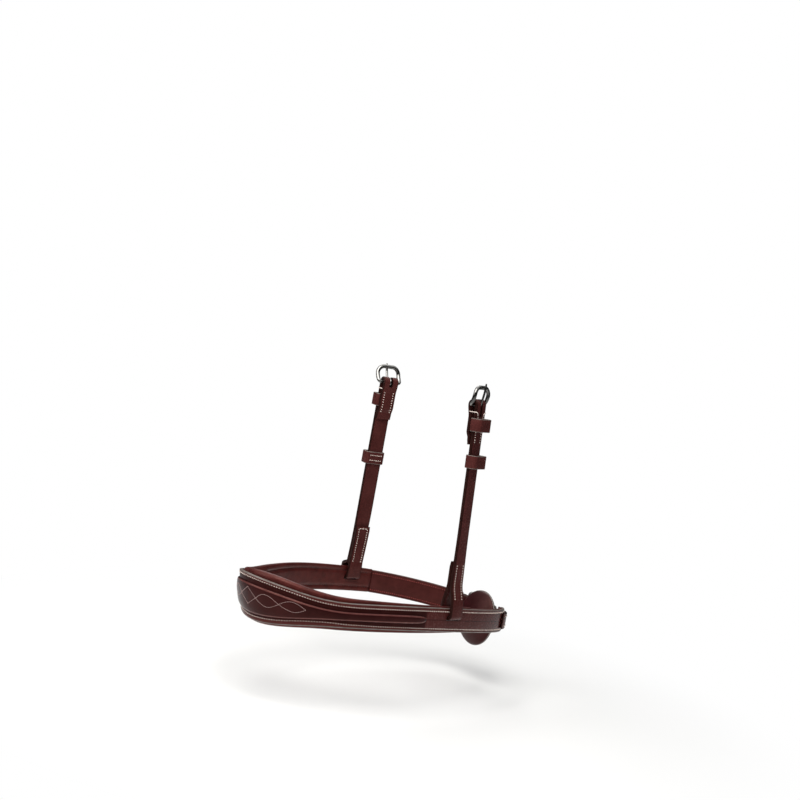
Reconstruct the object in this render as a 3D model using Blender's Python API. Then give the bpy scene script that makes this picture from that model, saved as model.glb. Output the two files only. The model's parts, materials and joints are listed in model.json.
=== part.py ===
"""Bridle noseband: a padded leather nosepiece on two cheekpieces, closed behind the
jaw by a strap and buckle over a chin pad.

Metres. +Z runs up to the horse's poll, -Y to the front of its nose and +X to its near
(left) side. The origin is on the face of the padding at the middle of the nose, where
the noseband lies on the horse and is held up. Places on the nosepiece are given as
along (round the ring from the middle of the nose, positive to the near side), out
(from the back face of the outer leather, positive away from the horse) and up (from
the band's centre line).
"""

import bisect
import math

import bmesh
import bpy
from mathutils import Matrix, Quaternion, Vector

# Fits
GAP = 0.0003
OVERRUN = 0.003

# The ring that the band makes, measured at the back face of its outer leather
RING_FRONT = 0.1356
RING_REAR = 0.1480
RING_WIDTH = 0.1487
SIDE_RISE = 0.0098
JAW_DROP = 0.0138
NOSE_LEAN = math.radians(13)
NOSE_LEAN_REACH = 0.110
ROUND_STEPS = 1440
STATION_STEP = 0.008

# Outer leather of the nosepiece
LEATHER_THICK = 0.0028
LEATHER_EDGE = 0.0005
SIDE_HEIGHT = 0.0212
NOSE_TOP = 0.0246
NOSE_BOTTOM = 0.0153
TOP_TAPER = 0.107
TOP_TAPER_POWER = 1.7
BOTTOM_TAPER = 0.071
JAW_OPENING = 0.056

# Raised panel along the front, filled by the bolster
EDGE_MARGIN = 0.0068
PANEL_REACH = 0.162
PANEL_RAISE = 0.0026
PANEL_END_SHARE = 0.12
PANEL_ENDING_POWER = 30
PANEL_STATION_SHARES = (-1.0, -0.975, 0.975, 1.0)
BOLSTER_SETBACK = 0.012
PANEL_WIDTH_SHARES = (0.0, 0.06, 0.2, 0.5, 0.8, 0.94, 1.0)

# Padding that lies on the nose, and the flat lining behind it
PADDING_NOSE = 0.0085
PADDING_SIDE = 0.0030
PADDING_TAPER = 0.150
PADDING_REACH = 0.2227
PADDING_SEAM = 0.0012
ROLL_NOSE = 0.0049
ROLL_SIDE = 0.0010
ROLL_TAPER = 0.190
ROLL_DIP = 0.0022
ROLL_DIP_REACH = 0.050
PADDING_FALL = 0.0018
PADDING_FALL_POWER = 4
LINING_THICK = 0.0020
LINING_EDGE = 0.0003
ROLL_CORNER_SHARE = 0.15
PADDING_FOOT_SHARE = 0.12
PADDING_FACE_SHARE = 0.35

# Cheekpieces
CHEEK_ALONGS = (0.1947, 0.1994)
CHEEK_LENGTH = 0.1947
STRAP_WIDTH = 0.015
STRAP_THICK = 0.0030
STRAP_EDGE = 0.0005
REARWARD_LEAN = math.radians(2.0)
OUTWARD_LEANS = (math.radians(-4.6), math.radians(-2.6))
STRAP_INSETS = (0.0039, 0.0070)
BEND_START = 0.012
BEND_END = 0.070
BEND_OUTWARD = math.radians(1.5)
BEND_REARWARD = math.radians(-2.2)
STRAP_TWIST = math.radians(8.0)
LOOP_PLAY = 0.0009
LOOP_BEND = 0.0022
SLOT_LOW = 0.0004
SLOT_PLAY = 0.0007
SLOT_END_PLAY = 0.0006
SLOT_CORNER = 0.0011
LOOP_RISE = 0.0014
LOOP_CLOSING = 0.0100
LOOP_LAP = 0.0400
FOLD_LAP = 0.040

# Keepers, the leather loops that hold a strap's free end
KEEPER_THICK = 0.0015
KEEPER_LENGTH = 0.0115
KEEPER_SIDE_PLAY = 0.0005
KEEPER_CORNER = 0.0016
BILLET_ROOM = 0.0056
FIXED_KEEPER_DROP = 0.0165
KEEPER_TO_LAP = 0.0065
RUNNING_KEEPER_DROPS = (0.0488, 0.0718)

# Buckles
WIRE_RADIUS = 0.0016
BUCKLE_ARM_RADIUS = 0.0019
BUCKLE_CLEAR = 0.0180
BUCKLE_REACH = 0.0155
BUCKLE_HEEL_BEND = 0.0020
BUCKLE_TOP_BEND = 0.0068
BUCKLE_ARCH = 0.0016
BUCKLE_LEANS = (math.radians(10), math.radians(27))
TONGUE_RADIUS = 0.0011
TONGUE_PAST_BAR = 0.0026
TONGUE_SLOT_PLAY = 0.0005
TONGUE_SLOT_DROP = 0.0100
TONGUE_OPENING = math.radians(70)

# Closing strap behind the jaw. Distances behind the jaw are measured from its middle
CLOSING_THICK = 0.0028
CLOSING_SEWN = 0.058
CLOSING_TAIL = 0.080
CLOSING_OUT = -0.0030
CLOSING_POINT = 0.010
CLOSING_POINT_SHARE = 0.3
TONGUE_HOLE_START = -0.0022
TONGUE_HOLE_END = 0.0108
CHAPE_THICK = 0.0020
CHAPE_TAIL = 0.052
CHAPE_BAR = 0.0225
CHAPE_BEND_END = 0.0270
CLOSING_RIDE = 0.0005
REAR_KEEPER_START = 0.0305

# Chin pad and the loop on its back
PAD_WIDTH = 0.046
PAD_HEIGHT = 0.0526
PAD_DOME = 0.0062
PAD_RIM = 0.0019
PAD_SETBACK = 0.0090
PAD_BEND_RADIUS = 0.150
PAD_DROP = 0.0056
PAD_LEAN = math.radians(4.8)
PAD_SEGMENTS = 32
PAD_RINGS = 12
PAD_LOOP_START = 0.0024
PAD_LOOP_LENGTH = 0.0100
PAD_LOOP_THICK = 0.0015
PAD_LOOP_PLAY = 0.0006
PAD_BOSS_SHARE = 0.62
PAD_RIM_POWER = 6

# Round shapes
TURN_STEPS = 6
BAR_STEPS = 8
WIRE_SIDES = 2
WELD_DISTANCE = 0.000003

# Colours, roughness and metallic value of the finishes
HAVANA = ((0.045, 0.013, 0.011), 0.38, 0.0)
HAVANA_SOFT = ((0.085, 0.024, 0.019), 0.55, 0.0)
FELT = ((0.16, 0.12, 0.09), 0.9, 0.0)
STEEL = ((0.62, 0.62, 0.63), 0.18, 1.0)

for old in list(bpy.data.objects):
    bpy.data.objects.remove(old, do_unlink=True)

noseband = bpy.data.collections.new("bridle_noseband")
bpy.context.scene.collection.children.link(noseband)
cutters = bpy.data.collections.new("cutters")
bpy.context.scene.collection.children.link(cutters)


# The ring: an ellipse in plan, with a table of lengths round it
def plan_point(angle):
    """Point of the ring in plan at an angle from the middle of the nose."""
    length = RING_FRONT if math.cos(angle) > 0 else RING_REAR
    return Vector((RING_WIDTH / 2 * math.sin(angle), -length * math.cos(angle), 0))


ROUND_LENGTHS = [0.0]
for step in range(ROUND_STEPS):
    start = plan_point(2 * math.pi * step / ROUND_STEPS)
    end = plan_point(2 * math.pi * (step + 1) / ROUND_STEPS)
    ROUND_LENGTHS.append(ROUND_LENGTHS[-1] + (end - start).length)
ROUND = ROUND_LENGTHS[-1]


def angle_at(along):
    """Angle of the place that lies this far round the ring from the nose."""
    along = along % ROUND
    step = min(bisect.bisect_right(ROUND_LENGTHS, along), ROUND_STEPS)
    low, high = ROUND_LENGTHS[step - 1], ROUND_LENGTHS[step]
    return 2 * math.pi * (step - 1 + (along - low) / (high - low)) / ROUND_STEPS


def outward(along):
    """Unit vector that points away from the horse at a place on the ring."""
    angle = angle_at(along)
    length = RING_FRONT if math.cos(angle) > 0 else RING_REAR
    return Vector((length * math.sin(angle), -RING_WIDTH / 2 * math.cos(angle), 0)).normalized()


def place(along, out=0.0, up=0.0):
    """World point of a place on the nosepiece."""
    angle = angle_at(along)
    lean = NOSE_LEAN * fade(along, NOSE_LEAN_REACH)
    out, up = out * math.cos(lean) + up * math.sin(lean), up * math.cos(lean) - out * math.sin(lean)
    point = plan_point(angle) + outward(along) * out
    point.y += RING_FRONT - PADDING_NOSE - GAP
    point.z = SIDE_RISE * math.sin(angle) ** 2 - JAW_DROP * (1 - math.cos(angle)) / 2 + up
    return point


def behind(distance, out=0.0, up=0.0):
    """World point at a distance from the middle of the jaw, positive to the near side."""
    return place(ROUND / 2 - distance, out, up)


def fade(distance, reach):
    """1 at the nose, falling smoothly to 0 at the reach."""
    return 0.5 * (1 + math.cos(math.pi * min(abs(distance) / reach, 1.0)))


def band_top(along):
    return SIDE_HEIGHT / 2 + (NOSE_TOP - SIDE_HEIGHT / 2) * fade(along, TOP_TAPER) ** TOP_TAPER_POWER


def band_bottom(along):
    return -SIDE_HEIGHT / 2 - (NOSE_BOTTOM - SIDE_HEIGHT / 2) * fade(along, BOTTOM_TAPER)


def padding_thick(along):
    return PADDING_SIDE + (PADDING_NOSE - PADDING_SIDE) * fade(along, PADDING_TAPER)


def roll_rise(along):
    rise = ROLL_SIDE + (ROLL_NOSE - ROLL_SIDE) * fade(along, ROLL_TAPER)
    return rise - ROLL_DIP * fade(along, ROLL_DIP_REACH)


def stations(start, end, step):
    """Evenly spaced places from start to end, about a step apart."""
    count = max(2, round(abs(end - start) / step) + 1)
    return [start + (end - start) * i / (count - 1) for i in range(count)]


# Building
def finish(name, mesh, look, parent=None, location=(0, 0, 0)):
    """Make the object of a piece, with a material of its own."""
    colour, roughness, metallic = look
    finish_of = bpy.data.materials.new(name)
    finish_of.use_nodes = True
    shader = finish_of.node_tree.nodes["Principled BSDF"]
    shader.inputs["Base Color"].default_value = (*colour, 1)
    shader.inputs["Roughness"].default_value = roughness
    shader.inputs["Metallic"].default_value = metallic
    mesh.materials.clear()
    mesh.materials.append(finish_of)
    piece = bpy.data.objects.new(name, mesh)
    noseband.objects.link(piece)
    piece.parent = parent
    piece.location = location
    return piece


def smooth_mesh(mesh):
    """Shade a mesh smooth but for its corners."""
    mesh.shade_smooth()
    mesh.set_sharp_from_angle(angle=math.radians(35))
    return mesh


def skinned(name, rings, closed=False):
    """Mesh of a loft through rings of as many points each, capped unless it closes."""
    mesh = bpy.data.meshes.new(name)
    shape = bmesh.new()
    loops = [[shape.verts.new(point) for point in ring] for ring in rings]
    pairs = list(zip(loops, loops[1:]))
    if closed:
        pairs.append((loops[-1], loops[0]))
    else:
        shape.faces.new(loops[0])
        shape.faces.new(loops[-1])
    for one, two in pairs:
        for i in range(len(one)):
            j = (i + 1) % len(one)
            shape.faces.new((one[i], one[j], two[j], two[i]))
    bmesh.ops.recalc_face_normals(shape, faces=shape.faces)
    shape.to_mesh(mesh)
    shape.free()
    return smooth_mesh(mesh)


def strap_rings(path, across, width, thick, edge):
    """Rings of a strap along a path, its width across it and its edges rounded off."""
    rings = []
    for i, point in enumerate(path):
        ahead = path[min(i + 1, len(path) - 1)] - path[max(i - 1, 0)]
        face = ahead.cross(across).normalized()
        half_width = width[i] / 2 if isinstance(width, list) else width / 2
        corners = []
        for side, level in ((1, 1), (1, -1), (-1, -1), (-1, 1)):
            outer = point + face * (level * (thick / 2 - edge)) + across * (side * half_width)
            inner = point + face * (level * thick / 2) + across * (side * (half_width - edge))
            corners += [inner, outer] if side == level else [outer, inner]
        rings.append(corners)
    return rings


def eased(start, end, count):
    """Points from start to end that leave and arrive along the second axis."""
    points = []
    for i in range(1, count + 1):
        share = i / count
        sway = share * share * (3 - 2 * share)
        points.append((start[0] + (end[0] - start[0]) * sway, start[1] + (end[1] - start[1]) * share))
    return points


def arc(centre, radius, start, end, count):
    """Points on an arc, with angles from the first axis."""
    turn = [start + (end - start) * i / count for i in range(count + 1)]
    return [(centre[0] + radius * math.cos(a), centre[1] + radius * math.sin(a)) for a in turn]


def bridged(leaving, arriving, count):
    """Points of a smooth bend between the last of two points and the first of two."""
    start, end = leaving[1], arriving[0]
    reach = (end - start).length
    go = (leaving[1] - leaving[0]).normalized() * reach
    come = (arriving[1] - arriving[0]).normalized() * reach
    bend = []
    for i in range(1, count):
        t = i / count
        bend.append(start * (2 * t ** 3 - 3 * t * t + 1) + go * (t ** 3 - 2 * t * t + t)
                    + end * (3 * t * t - 2 * t ** 3) + come * (t ** 3 - t * t))
    return bend


def wire(name, points, radii, closed):
    """Mesh of a round wire along points, with its radius at each."""
    line = bpy.data.curves.new(name, "CURVE")
    line.dimensions = "3D"
    line.bevel_depth = 1
    line.bevel_resolution = WIRE_SIDES
    line.use_fill_caps = not closed
    run = line.splines.new("POLY")
    run.points.add(len(points) - 1)
    for at, point, radius in zip(run.points, points, radii):
        at.co = (*point, 1)
        at.radius = radius
    run.use_cyclic_u = closed
    guide = bpy.data.objects.new(name, line)
    noseband.objects.link(guide)
    evaluated = guide.evaluated_get(bpy.context.evaluated_depsgraph_get())
    mesh = bpy.data.meshes.new_from_object(evaluated)
    bpy.data.objects.remove(guide)
    shape = bmesh.new()
    shape.from_mesh(mesh)
    bmesh.ops.remove_doubles(shape, verts=shape.verts, dist=WELD_DISTANCE)
    shape.to_mesh(mesh)
    shape.free()
    mesh.name = name
    return smooth_mesh(mesh)


def box_cutter(name, low, high, parent=None, rounding=0.0):
    """Hidden box between two corners, in its parent's frame."""
    mesh = bpy.data.meshes.new(name)
    shape = bmesh.new()
    bmesh.ops.create_cube(shape, size=1)
    size = Vector(high) - Vector(low)
    bmesh.ops.scale(shape, vec=size, verts=shape.verts)
    bmesh.ops.translate(shape, vec=(Vector(high) + Vector(low)) / 2, verts=shape.verts)
    if rounding:
        through = [edge for edge in shape.edges if edge.verts[0].co.x * edge.verts[1].co.x < 0]
        bmesh.ops.bevel(shape, geom=through, offset=rounding, segments=TURN_STEPS // 2,
                        affect="EDGES", profile=0.5)
    shape.to_mesh(mesh)
    shape.free()
    cutter = bpy.data.objects.new(name, mesh)
    cutters.objects.link(cutter)
    cutter.parent = parent
    cutter.hide_render = True
    cutter.display_type = "WIRE"
    return cutter


def cut(piece, cutter):
    """Cut a piece with a cutter."""
    step = piece.modifiers.new(cutter.name, "BOOLEAN")
    step.object = cutter
    step.operation = "DIFFERENCE"
    step.solver = "EXACT"


def pivot(name, location, basis, parent=None):
    """Empty on a joint's axis, which carries what turns there."""
    empty = bpy.data.objects.new(name, None)
    noseband.objects.link(empty)
    empty.parent = parent
    matrix = basis.to_4x4()
    matrix.translation = location
    empty.matrix_local = matrix
    return empty


def keeper_rings(low, high, start, end, at):
    """Rings of a closed leather loop round a box, from start to end along a strap.

    low and high are the loop's inner corners across the strap, and at turns
    (along, outwards, across) into a point.
    """
    half = ((high[0] - low[0]) / 2, (high[1] - low[1]) / 2)
    middle = ((high[0] + low[0]) / 2, (high[1] + low[1]) / 2)
    rings = []
    for quarter, (side, level) in enumerate(((1, 1), (-1, 1), (-1, -1), (1, -1))):
        centre = (middle[0] + side * half[0], middle[1] + level * half[1])
        for i in range(TURN_STEPS // 2 + 1):
            angle = math.pi / 2 * (quarter + i / (TURN_STEPS // 2))
            ring = []
            run = [start, (start + end) / 2, end]
            for reach in (KEEPER_CORNER, KEEPER_CORNER + KEEPER_THICK):
                outwards = centre[0] - side * KEEPER_CORNER + reach * math.cos(angle)
                across = centre[1] - level * KEEPER_CORNER + reach * math.sin(angle)
                ring += [at(distance, outwards, across) for distance in run]
                run = run[::-1]
            rings.append(ring)
    return rings


# Outer leather of the nosepiece, with the raised panel's shape in it
def panel_profile(along):
    """Heights across the raised panel and how far each stands out."""
    ending = max(1 - (abs(along) / PANEL_REACH) ** PANEL_ENDING_POWER, 0.0) ** 0.5
    middle = (band_top(along) + band_bottom(along)) / 2
    half = (band_top(along) - band_bottom(along)) / 2 - EDGE_MARGIN
    half *= PANEL_END_SHARE + (1 - PANEL_END_SHARE) * ending
    raised = []
    for share in PANEL_WIDTH_SHARES:
        stand = PANEL_RAISE * ending * math.sin(math.pi * share) ** 0.5
        raised.append((middle + half * (2 * share - 1), stand))
    return raised


def leather_ring(along):
    """Section of the outer leather, up its face and down its back."""
    top, bottom = band_top(along), band_bottom(along)
    edge = LEATHER_EDGE
    panel = panel_profile(along)
    section = [(LEATHER_THICK, bottom + edge)]
    section += [(LEATHER_THICK + stand, up) for up, stand in panel]
    section += [(LEATHER_THICK, top - edge), (LEATHER_THICK - edge, top), (edge, top), (0.0, top - edge)]
    section += [(stand, up) for up, stand in reversed(panel)]
    section += [(0.0, bottom + edge), (edge, bottom), (LEATHER_THICK - edge, bottom)]
    return [place(along, out, up) for out, up in section]


band_end = (ROUND - JAW_OPENING) / 2
band_stations = sorted(stations(-band_end, band_end, STATION_STEP)
                       + [share * PANEL_REACH for share in PANEL_STATION_SHARES])
nosepiece_leather = finish(
    "nosepiece_leather", skinned("nosepiece_leather", [leather_ring(a) for a in band_stations]), HAVANA)


# Bolster that fills the raised panel between the leather and the padding
bolster_reach = PANEL_REACH - BOLSTER_SETBACK


def bolster_ring(along):
    raised = panel_profile(along)[1:-1]
    section = [(stand - GAP, up) for up, stand in raised]
    section += [(0.0, raised[-1][0]), (0.0, raised[0][0])]
    return [place(along, out, up) for out, up in section]


finish("nosepiece_bolster",
       skinned("nosepiece_bolster",
               [bolster_ring(a) for a in stations(-bolster_reach, bolster_reach, STATION_STEP)]), FELT)


# Padding, a soft roll above the leather's top edge and a crowned face to the nose
def padding_ring(along):
    thick = padding_thick(along)
    top = band_top(along) + roll_rise(along)
    bottom = band_bottom(along) - PADDING_FALL * (1 - abs(along / PADDING_REACH) ** PADDING_FALL_POWER)
    height = top - bottom
    seam = min(PADDING_SEAM, thick / 2)
    corner = thick * ROLL_CORNER_SHARE
    inner = -GAP - thick
    section = [
        (-GAP, bottom + seam), (-GAP, top - thick / 2), (-GAP - corner, top - corner),
        (-GAP - thick / 2, top), (inner + corner, top - corner), (inner, top - thick / 2),
        (inner, top - height * PADDING_FACE_SHARE), (inner, bottom + height * PADDING_FACE_SHARE),
        (inner + thick * PADDING_FOOT_SHARE, bottom + height * PADDING_FOOT_SHARE),
        (-GAP - thick / 2, bottom), (-GAP - seam, bottom)]
    return [place(along, out, up) for out, up in section]


nosepiece_padding = finish(
    "nosepiece_padding",
    skinned("nosepiece_padding",
            [padding_ring(a) for a in stations(-PADDING_REACH, PADDING_REACH, STATION_STEP)]), HAVANA_SOFT)


# Flat lining from the padding's ends to the ends of the leather
def lining_ring(along):
    top, bottom = band_top(along) - LEATHER_EDGE, band_bottom(along) + LEATHER_EDGE
    back, edge = -GAP - LINING_THICK, LINING_EDGE
    section = [
        (-GAP, bottom + edge), (-GAP, top - edge), (-GAP - edge, top), (back + edge, top),
        (back, top - edge), (back, bottom + edge), (back + edge, bottom), (-GAP - edge, bottom)]
    return [place(along, out, up) for out, up in section]


for side_name, side in (("near", 1), ("off", -1)):
    lining_name = side_name + "_flat_lining"
    lining_places = stations(side * (PADDING_REACH + GAP), side * band_end, STATION_STEP)
    finish(lining_name, skinned(lining_name, [lining_ring(a) for a in lining_places]), HAVANA_SOFT)


# Buckles. The frame lies in the Y-Z plane with its heel bar on the Y axis
def frame_path():
    """Middle of the frame's wire: heel bar, two arms and a rounded top bar."""
    half = BUCKLE_CLEAR / 2 + BUCKLE_ARM_RADIUS
    heel, top = BUCKLE_HEEL_BEND, BUCKLE_TOP_BEND
    right = math.pi / 2
    flat = arc((half - heel, heel), heel, -right, 0, TURN_STEPS // 2)
    flat += arc((half - top, BUCKLE_REACH - top), top, 0, right, TURN_STEPS)
    flat += arc((top - half, BUCKLE_REACH - top), top, right, 2 * right, TURN_STEPS)
    flat += arc((heel - half, heel), heel, 2 * right, 3 * right, TURN_STEPS // 2)
    bow = [BUCKLE_ARCH * math.sin(math.pi * z / BUCKLE_REACH) for y, z in flat]
    return [Vector((x, y, z)) for x, (y, z) in zip(bow, flat)]


def tongue_path():
    """Middle of the tongue: from past the top bar down to its turn round the heel bar."""
    ride = WIRE_RADIUS + GAP + TONGUE_RADIUS
    turn = arc((0, 0), ride, 0, -2 * math.pi + TONGUE_OPENING, 2 * TURN_STEPS)
    rest = BUCKLE_ARM_RADIUS + GAP + TONGUE_RADIUS
    straight = [(rest, BUCKLE_REACH + BUCKLE_ARM_RADIUS + TONGUE_PAST_BAR), (rest, BUCKLE_REACH)]
    return [Vector((x, 0, z)) for x, z in straight + turn]


frame_points = frame_path()
frame_radii = [WIRE_RADIUS if point.z < BUCKLE_HEEL_BEND else BUCKLE_ARM_RADIUS for point in frame_points]
frame_mesh = wire("buckle_frame", frame_points, frame_radii, True)
tongue_points = tongue_path()
tongue_mesh = wire("buckle_tongue", tongue_points, [TONGUE_RADIUS] * len(tongue_points), False)


def add_buckle(prefix, location, basis, parent=None):
    """Buckle frame and tongue on the pivot of their heel bar."""
    heel = pivot(prefix + "_buckle_pivot", location, basis, parent)
    finish(prefix + "_buckle_frame", frame_mesh.copy(), STEEL, heel)
    finish(prefix + "_buckle_tongue", tongue_mesh.copy(), STEEL, heel)
    return heel


# Cheekpieces. Each hangs on its pivot, the strip of band that its loop goes round: X away
# from the horse, Z up. Its shapes are given as for a straight strap, with X 0 in the middle
# of the strap's thickness; above the loop the strap then leans and twists a little
pivot_out = (LEATHER_THICK - GAP - PADDING_SIDE) / 2
strip_half = (LEATHER_THICK + GAP + PADDING_SIDE) / 2
slot_bottom = -SLOT_LOW
slot_height = STRAP_THICK + 2 * SLOT_PLAY
strip_top = SIDE_HEIGHT / 2 + ROLL_SIDE
pivot_up = (slot_bottom + slot_height + strip_top) / 2
leaf_x = strip_half + LOOP_PLAY + STRAP_THICK / 2
lap_step = STRAP_THICK + GAP
loop_bottom = slot_bottom + slot_height / 2 - pivot_up
band_top_z = strip_top - pivot_up
fold_radius = WIRE_RADIUS + GAP + STRAP_THICK / 2
bar_x = -fold_radius
fold_top = loop_bottom - STRAP_THICK / 2 + CHEEK_LENGTH
bar_z = fold_top - WIRE_RADIUS - GAP - STRAP_THICK
keeper_lap_x = -STRAP_THICK - KEEPER_THICK - 2 * GAP
keeper_low = (-STRAP_THICK / 2 - GAP, -STRAP_WIDTH / 2 - KEEPER_SIDE_PLAY)
keeper_high = (STRAP_THICK / 2 + BILLET_ROOM, STRAP_WIDTH / 2 + KEEPER_SIDE_PLAY)


def cheek_path(inset):
    """Strap's middle line before it bends: lower lap, loop through the slot, strap and fold."""
    right = math.pi / 2
    bend = LOOP_BEND
    outer_x, inner_x = inset, inset - 2 * leaf_x
    loop_top = band_top_z + LOOP_RISE
    closed = loop_top + LOOP_CLOSING
    keeper_end = fold_top - FIXED_KEEPER_DROP - KEEPER_LENGTH
    path = [(-lap_step, height) for height in stations(band_top_z + LOOP_LAP, closed, STATION_STEP / 2)]
    path += eased(path[-1], (inner_x, loop_top), TURN_STEPS)
    path += arc((inner_x + bend, loop_bottom + bend), bend, 2 * right, 3 * right, TURN_STEPS // 2)
    path += arc((outer_x - bend, loop_bottom + bend), bend, 3 * right, 4 * right, TURN_STEPS // 2)
    path += [(outer_x, loop_top)]
    path += eased(path[-1], (0.0, closed), TURN_STEPS)
    path += [(0.0, height) for height in stations(closed, BEND_END, STATION_STEP)[1:]]
    path += [(0.0, height) for height in stations(BEND_END, bar_z, STATION_STEP * 2)[1:-1]]
    path += arc((bar_x, bar_z), fold_radius, 0, 2 * right, BAR_STEPS)
    path += eased(path[-1], (keeper_lap_x, fold_top - FIXED_KEEPER_DROP + GAP), TURN_STEPS // 2)
    path += [(keeper_lap_x, keeper_end - GAP)]
    path += eased(path[-1], (-lap_step, keeper_end - KEEPER_TO_LAP), TURN_STEPS // 2)
    path += [(-lap_step, fold_top - FOLD_LAP)]
    return [Vector((x, 0, z)) for x, z in path]


def strap_turn(side, share):
    """Turn of a cheekpiece's strap at a share of its bend."""
    turn = Vector((-side * BEND_REARWARD, BEND_OUTWARD, side * STRAP_TWIST))
    return Quaternion(turn.normalized(), turn.length * share * share * (3 - 2 * share))


def bent(side, point):
    """Place of a straight strap's point once the strap leans and twists above its loop."""
    share = min(max((point.z - BEND_START) / (BEND_END - BEND_START), 0.0), 1.0)
    middle = Vector((0, 0, min(point.z, BEND_START)))
    for i in range(BAR_STEPS):
        rise = Vector((0, 0, share * (BEND_END - BEND_START) / BAR_STEPS))
        middle += strap_turn(side, share * (2 * i + 1) / (2 * BAR_STEPS)) @ rise
    middle += strap_turn(side, 1.0) @ Vector((0, 0, max(point.z - BEND_END, 0.0)))
    return middle + strap_turn(side, share) @ Vector((point.x, point.y, 0))


def at_strap(distance, outwards, across):
    """Point of a cheekpiece, a distance below the top of its fold."""
    return Vector((outwards, across, fold_top - distance))


def at_keeper(distance, outwards, across):
    """Point of a running keeper about its own top."""
    return Vector((outwards, across, -distance))


fixed_rings = keeper_rings(keeper_low, keeper_high, FIXED_KEEPER_DROP,
                           FIXED_KEEPER_DROP + KEEPER_LENGTH, at_strap)
fixed_mesh = skinned("fixed_keeper", fixed_rings, closed=True)
running_rings = keeper_rings(keeper_low, keeper_high, 0.0, KEEPER_LENGTH, at_keeper)
running_mesh = skinned("running_keeper", running_rings, closed=True)

tongue_half = TONGUE_RADIUS + TONGUE_SLOT_PLAY
slot_reach = STRAP_WIDTH / 2 + SLOT_END_PLAY

for side_name, side, along, outward_lean, inset, keeper_drop, buckle_lean in zip(
        ("near", "off"), (1, -1), CHEEK_ALONGS, OUTWARD_LEANS, STRAP_INSETS, RUNNING_KEEPER_DROPS,
        BUCKLE_LEANS):
    along *= side
    away = outward(along)
    rearward = Vector((-away.y, away.x, 0)) * side
    upward = Vector((0, 0, 1)) + away * math.tan(outward_lean) + rearward * math.tan(REARWARD_LEAN)
    upward.normalize()
    across = upward.cross(away).normalized()
    basis = Matrix((across.cross(upward), across, upward)).transposed()
    cheek = pivot(side_name + "_cheek_pivot", place(along, pivot_out, pivot_up), basis)

    from_loop = Vector((leaf_x - inset, 0, 0))
    upper_turn = strap_turn(side, 1.0)
    upper_origin = bent(side, Vector((0, 0, BEND_END))) - upper_turn @ Vector((0, 0, BEND_END))
    upper = pivot(side_name + "_strap_frame", from_loop + upper_origin, upper_turn.to_matrix(), cheek)

    cheek_rings = strap_rings(cheek_path(inset), Vector((0, 1, 0)), STRAP_WIDTH, STRAP_THICK, STRAP_EDGE)
    cheek_rings = [[bent(side, point) for point in ring] for ring in cheek_rings]
    strap_name = side_name + "_cheek_strap"
    strap = finish(strap_name, skinned(strap_name, cheek_rings), HAVANA, cheek, from_loop)
    finish(side_name + "_fixed_keeper", fixed_mesh.copy(), HAVANA, upper)
    keeper_top = (0, 0, fold_top - keeper_drop)
    finish(side_name + "_running_keeper", running_mesh.copy(), HAVANA, upper, keeper_top)
    add_buckle(side_name, (bar_x, 0, bar_z), Matrix.Rotation(buckle_lean, 3, "Y"), upper)

    cut(strap, box_cutter(side_name + "_tongue_slot",
                          (bar_x - fold_radius - STRAP_THICK, -tongue_half, bar_z - TONGUE_SLOT_DROP),
                          (STRAP_THICK, tongue_half, fold_top + OVERRUN), upper))
    slot = box_cutter(side_name + "_cheek_slot",
                      (-strip_half - OVERRUN, -slot_reach, loop_bottom - slot_height / 2),
                      (strip_half + OVERRUN, slot_reach, loop_bottom + slot_height / 2),
                      cheek, SLOT_CORNER)
    cut(nosepiece_leather, slot)
    cut(nosepiece_padding, slot)


# Closing buckle and its chape, a strip folded round the heel bar and sewn to the off end
chape_inner = LEATHER_THICK + GAP + CHAPE_THICK / 2
chape_outer = chape_inner + CHAPE_THICK + KEEPER_THICK + 2 * GAP
chape_bar = behind(-CHAPE_BAR, (chape_inner + chape_outer) / 2)
bar_out = outward(ROUND / 2 + CHAPE_BAR)
bar_near = Vector((-bar_out.y, bar_out.x, 0)) * -1
chape_fold = WIRE_RADIUS + GAP + CHAPE_THICK / 2

chape_path = [behind(-distance, chape_inner)
              for distance in stations(CHAPE_TAIL, CHAPE_BEND_END, STATION_STEP / 2)]
chape_path += [chape_bar + bar_near * x + bar_out * y
               for x, y in arc((0, 0), chape_fold, -math.pi / 2, math.pi / 2, BAR_STEPS)]
chape_path += [behind(-distance, chape_outer)
               for distance in stations(CHAPE_BEND_END, CHAPE_TAIL, STATION_STEP / 2)]
chape_rings = strap_rings(chape_path, Vector((0, 0, 1)), STRAP_WIDTH, CHAPE_THICK, STRAP_EDGE)
chape = finish("closing_buckle_chape", skinned("closing_buckle_chape", chape_rings), HAVANA)

# Closing strap: sewn to the near end, straight behind the jaw, then out through the
# buckle and along the chape
jaw = place(ROUND / 2)
strap_y = jaw.y + CLOSING_OUT
sewn_out = LEATHER_THICK + GAP + CLOSING_THICK / 2
ride_out = chape_outer + CHAPE_THICK / 2 + GAP + CLOSING_THICK / 2
over_bar = WIRE_RADIUS + GAP + CHAPE_THICK + CLOSING_RIDE + CLOSING_THICK / 2
bar_top_y = strap_y + CLOSING_THICK / 2 + GAP + BUCKLE_ARM_RADIUS
bar_rise = bar_top_y - chape_bar.y
bar_run = (BUCKLE_REACH ** 2 - bar_rise ** 2) ** 0.5
top_bar_x = chape_bar.x + bar_run

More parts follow.
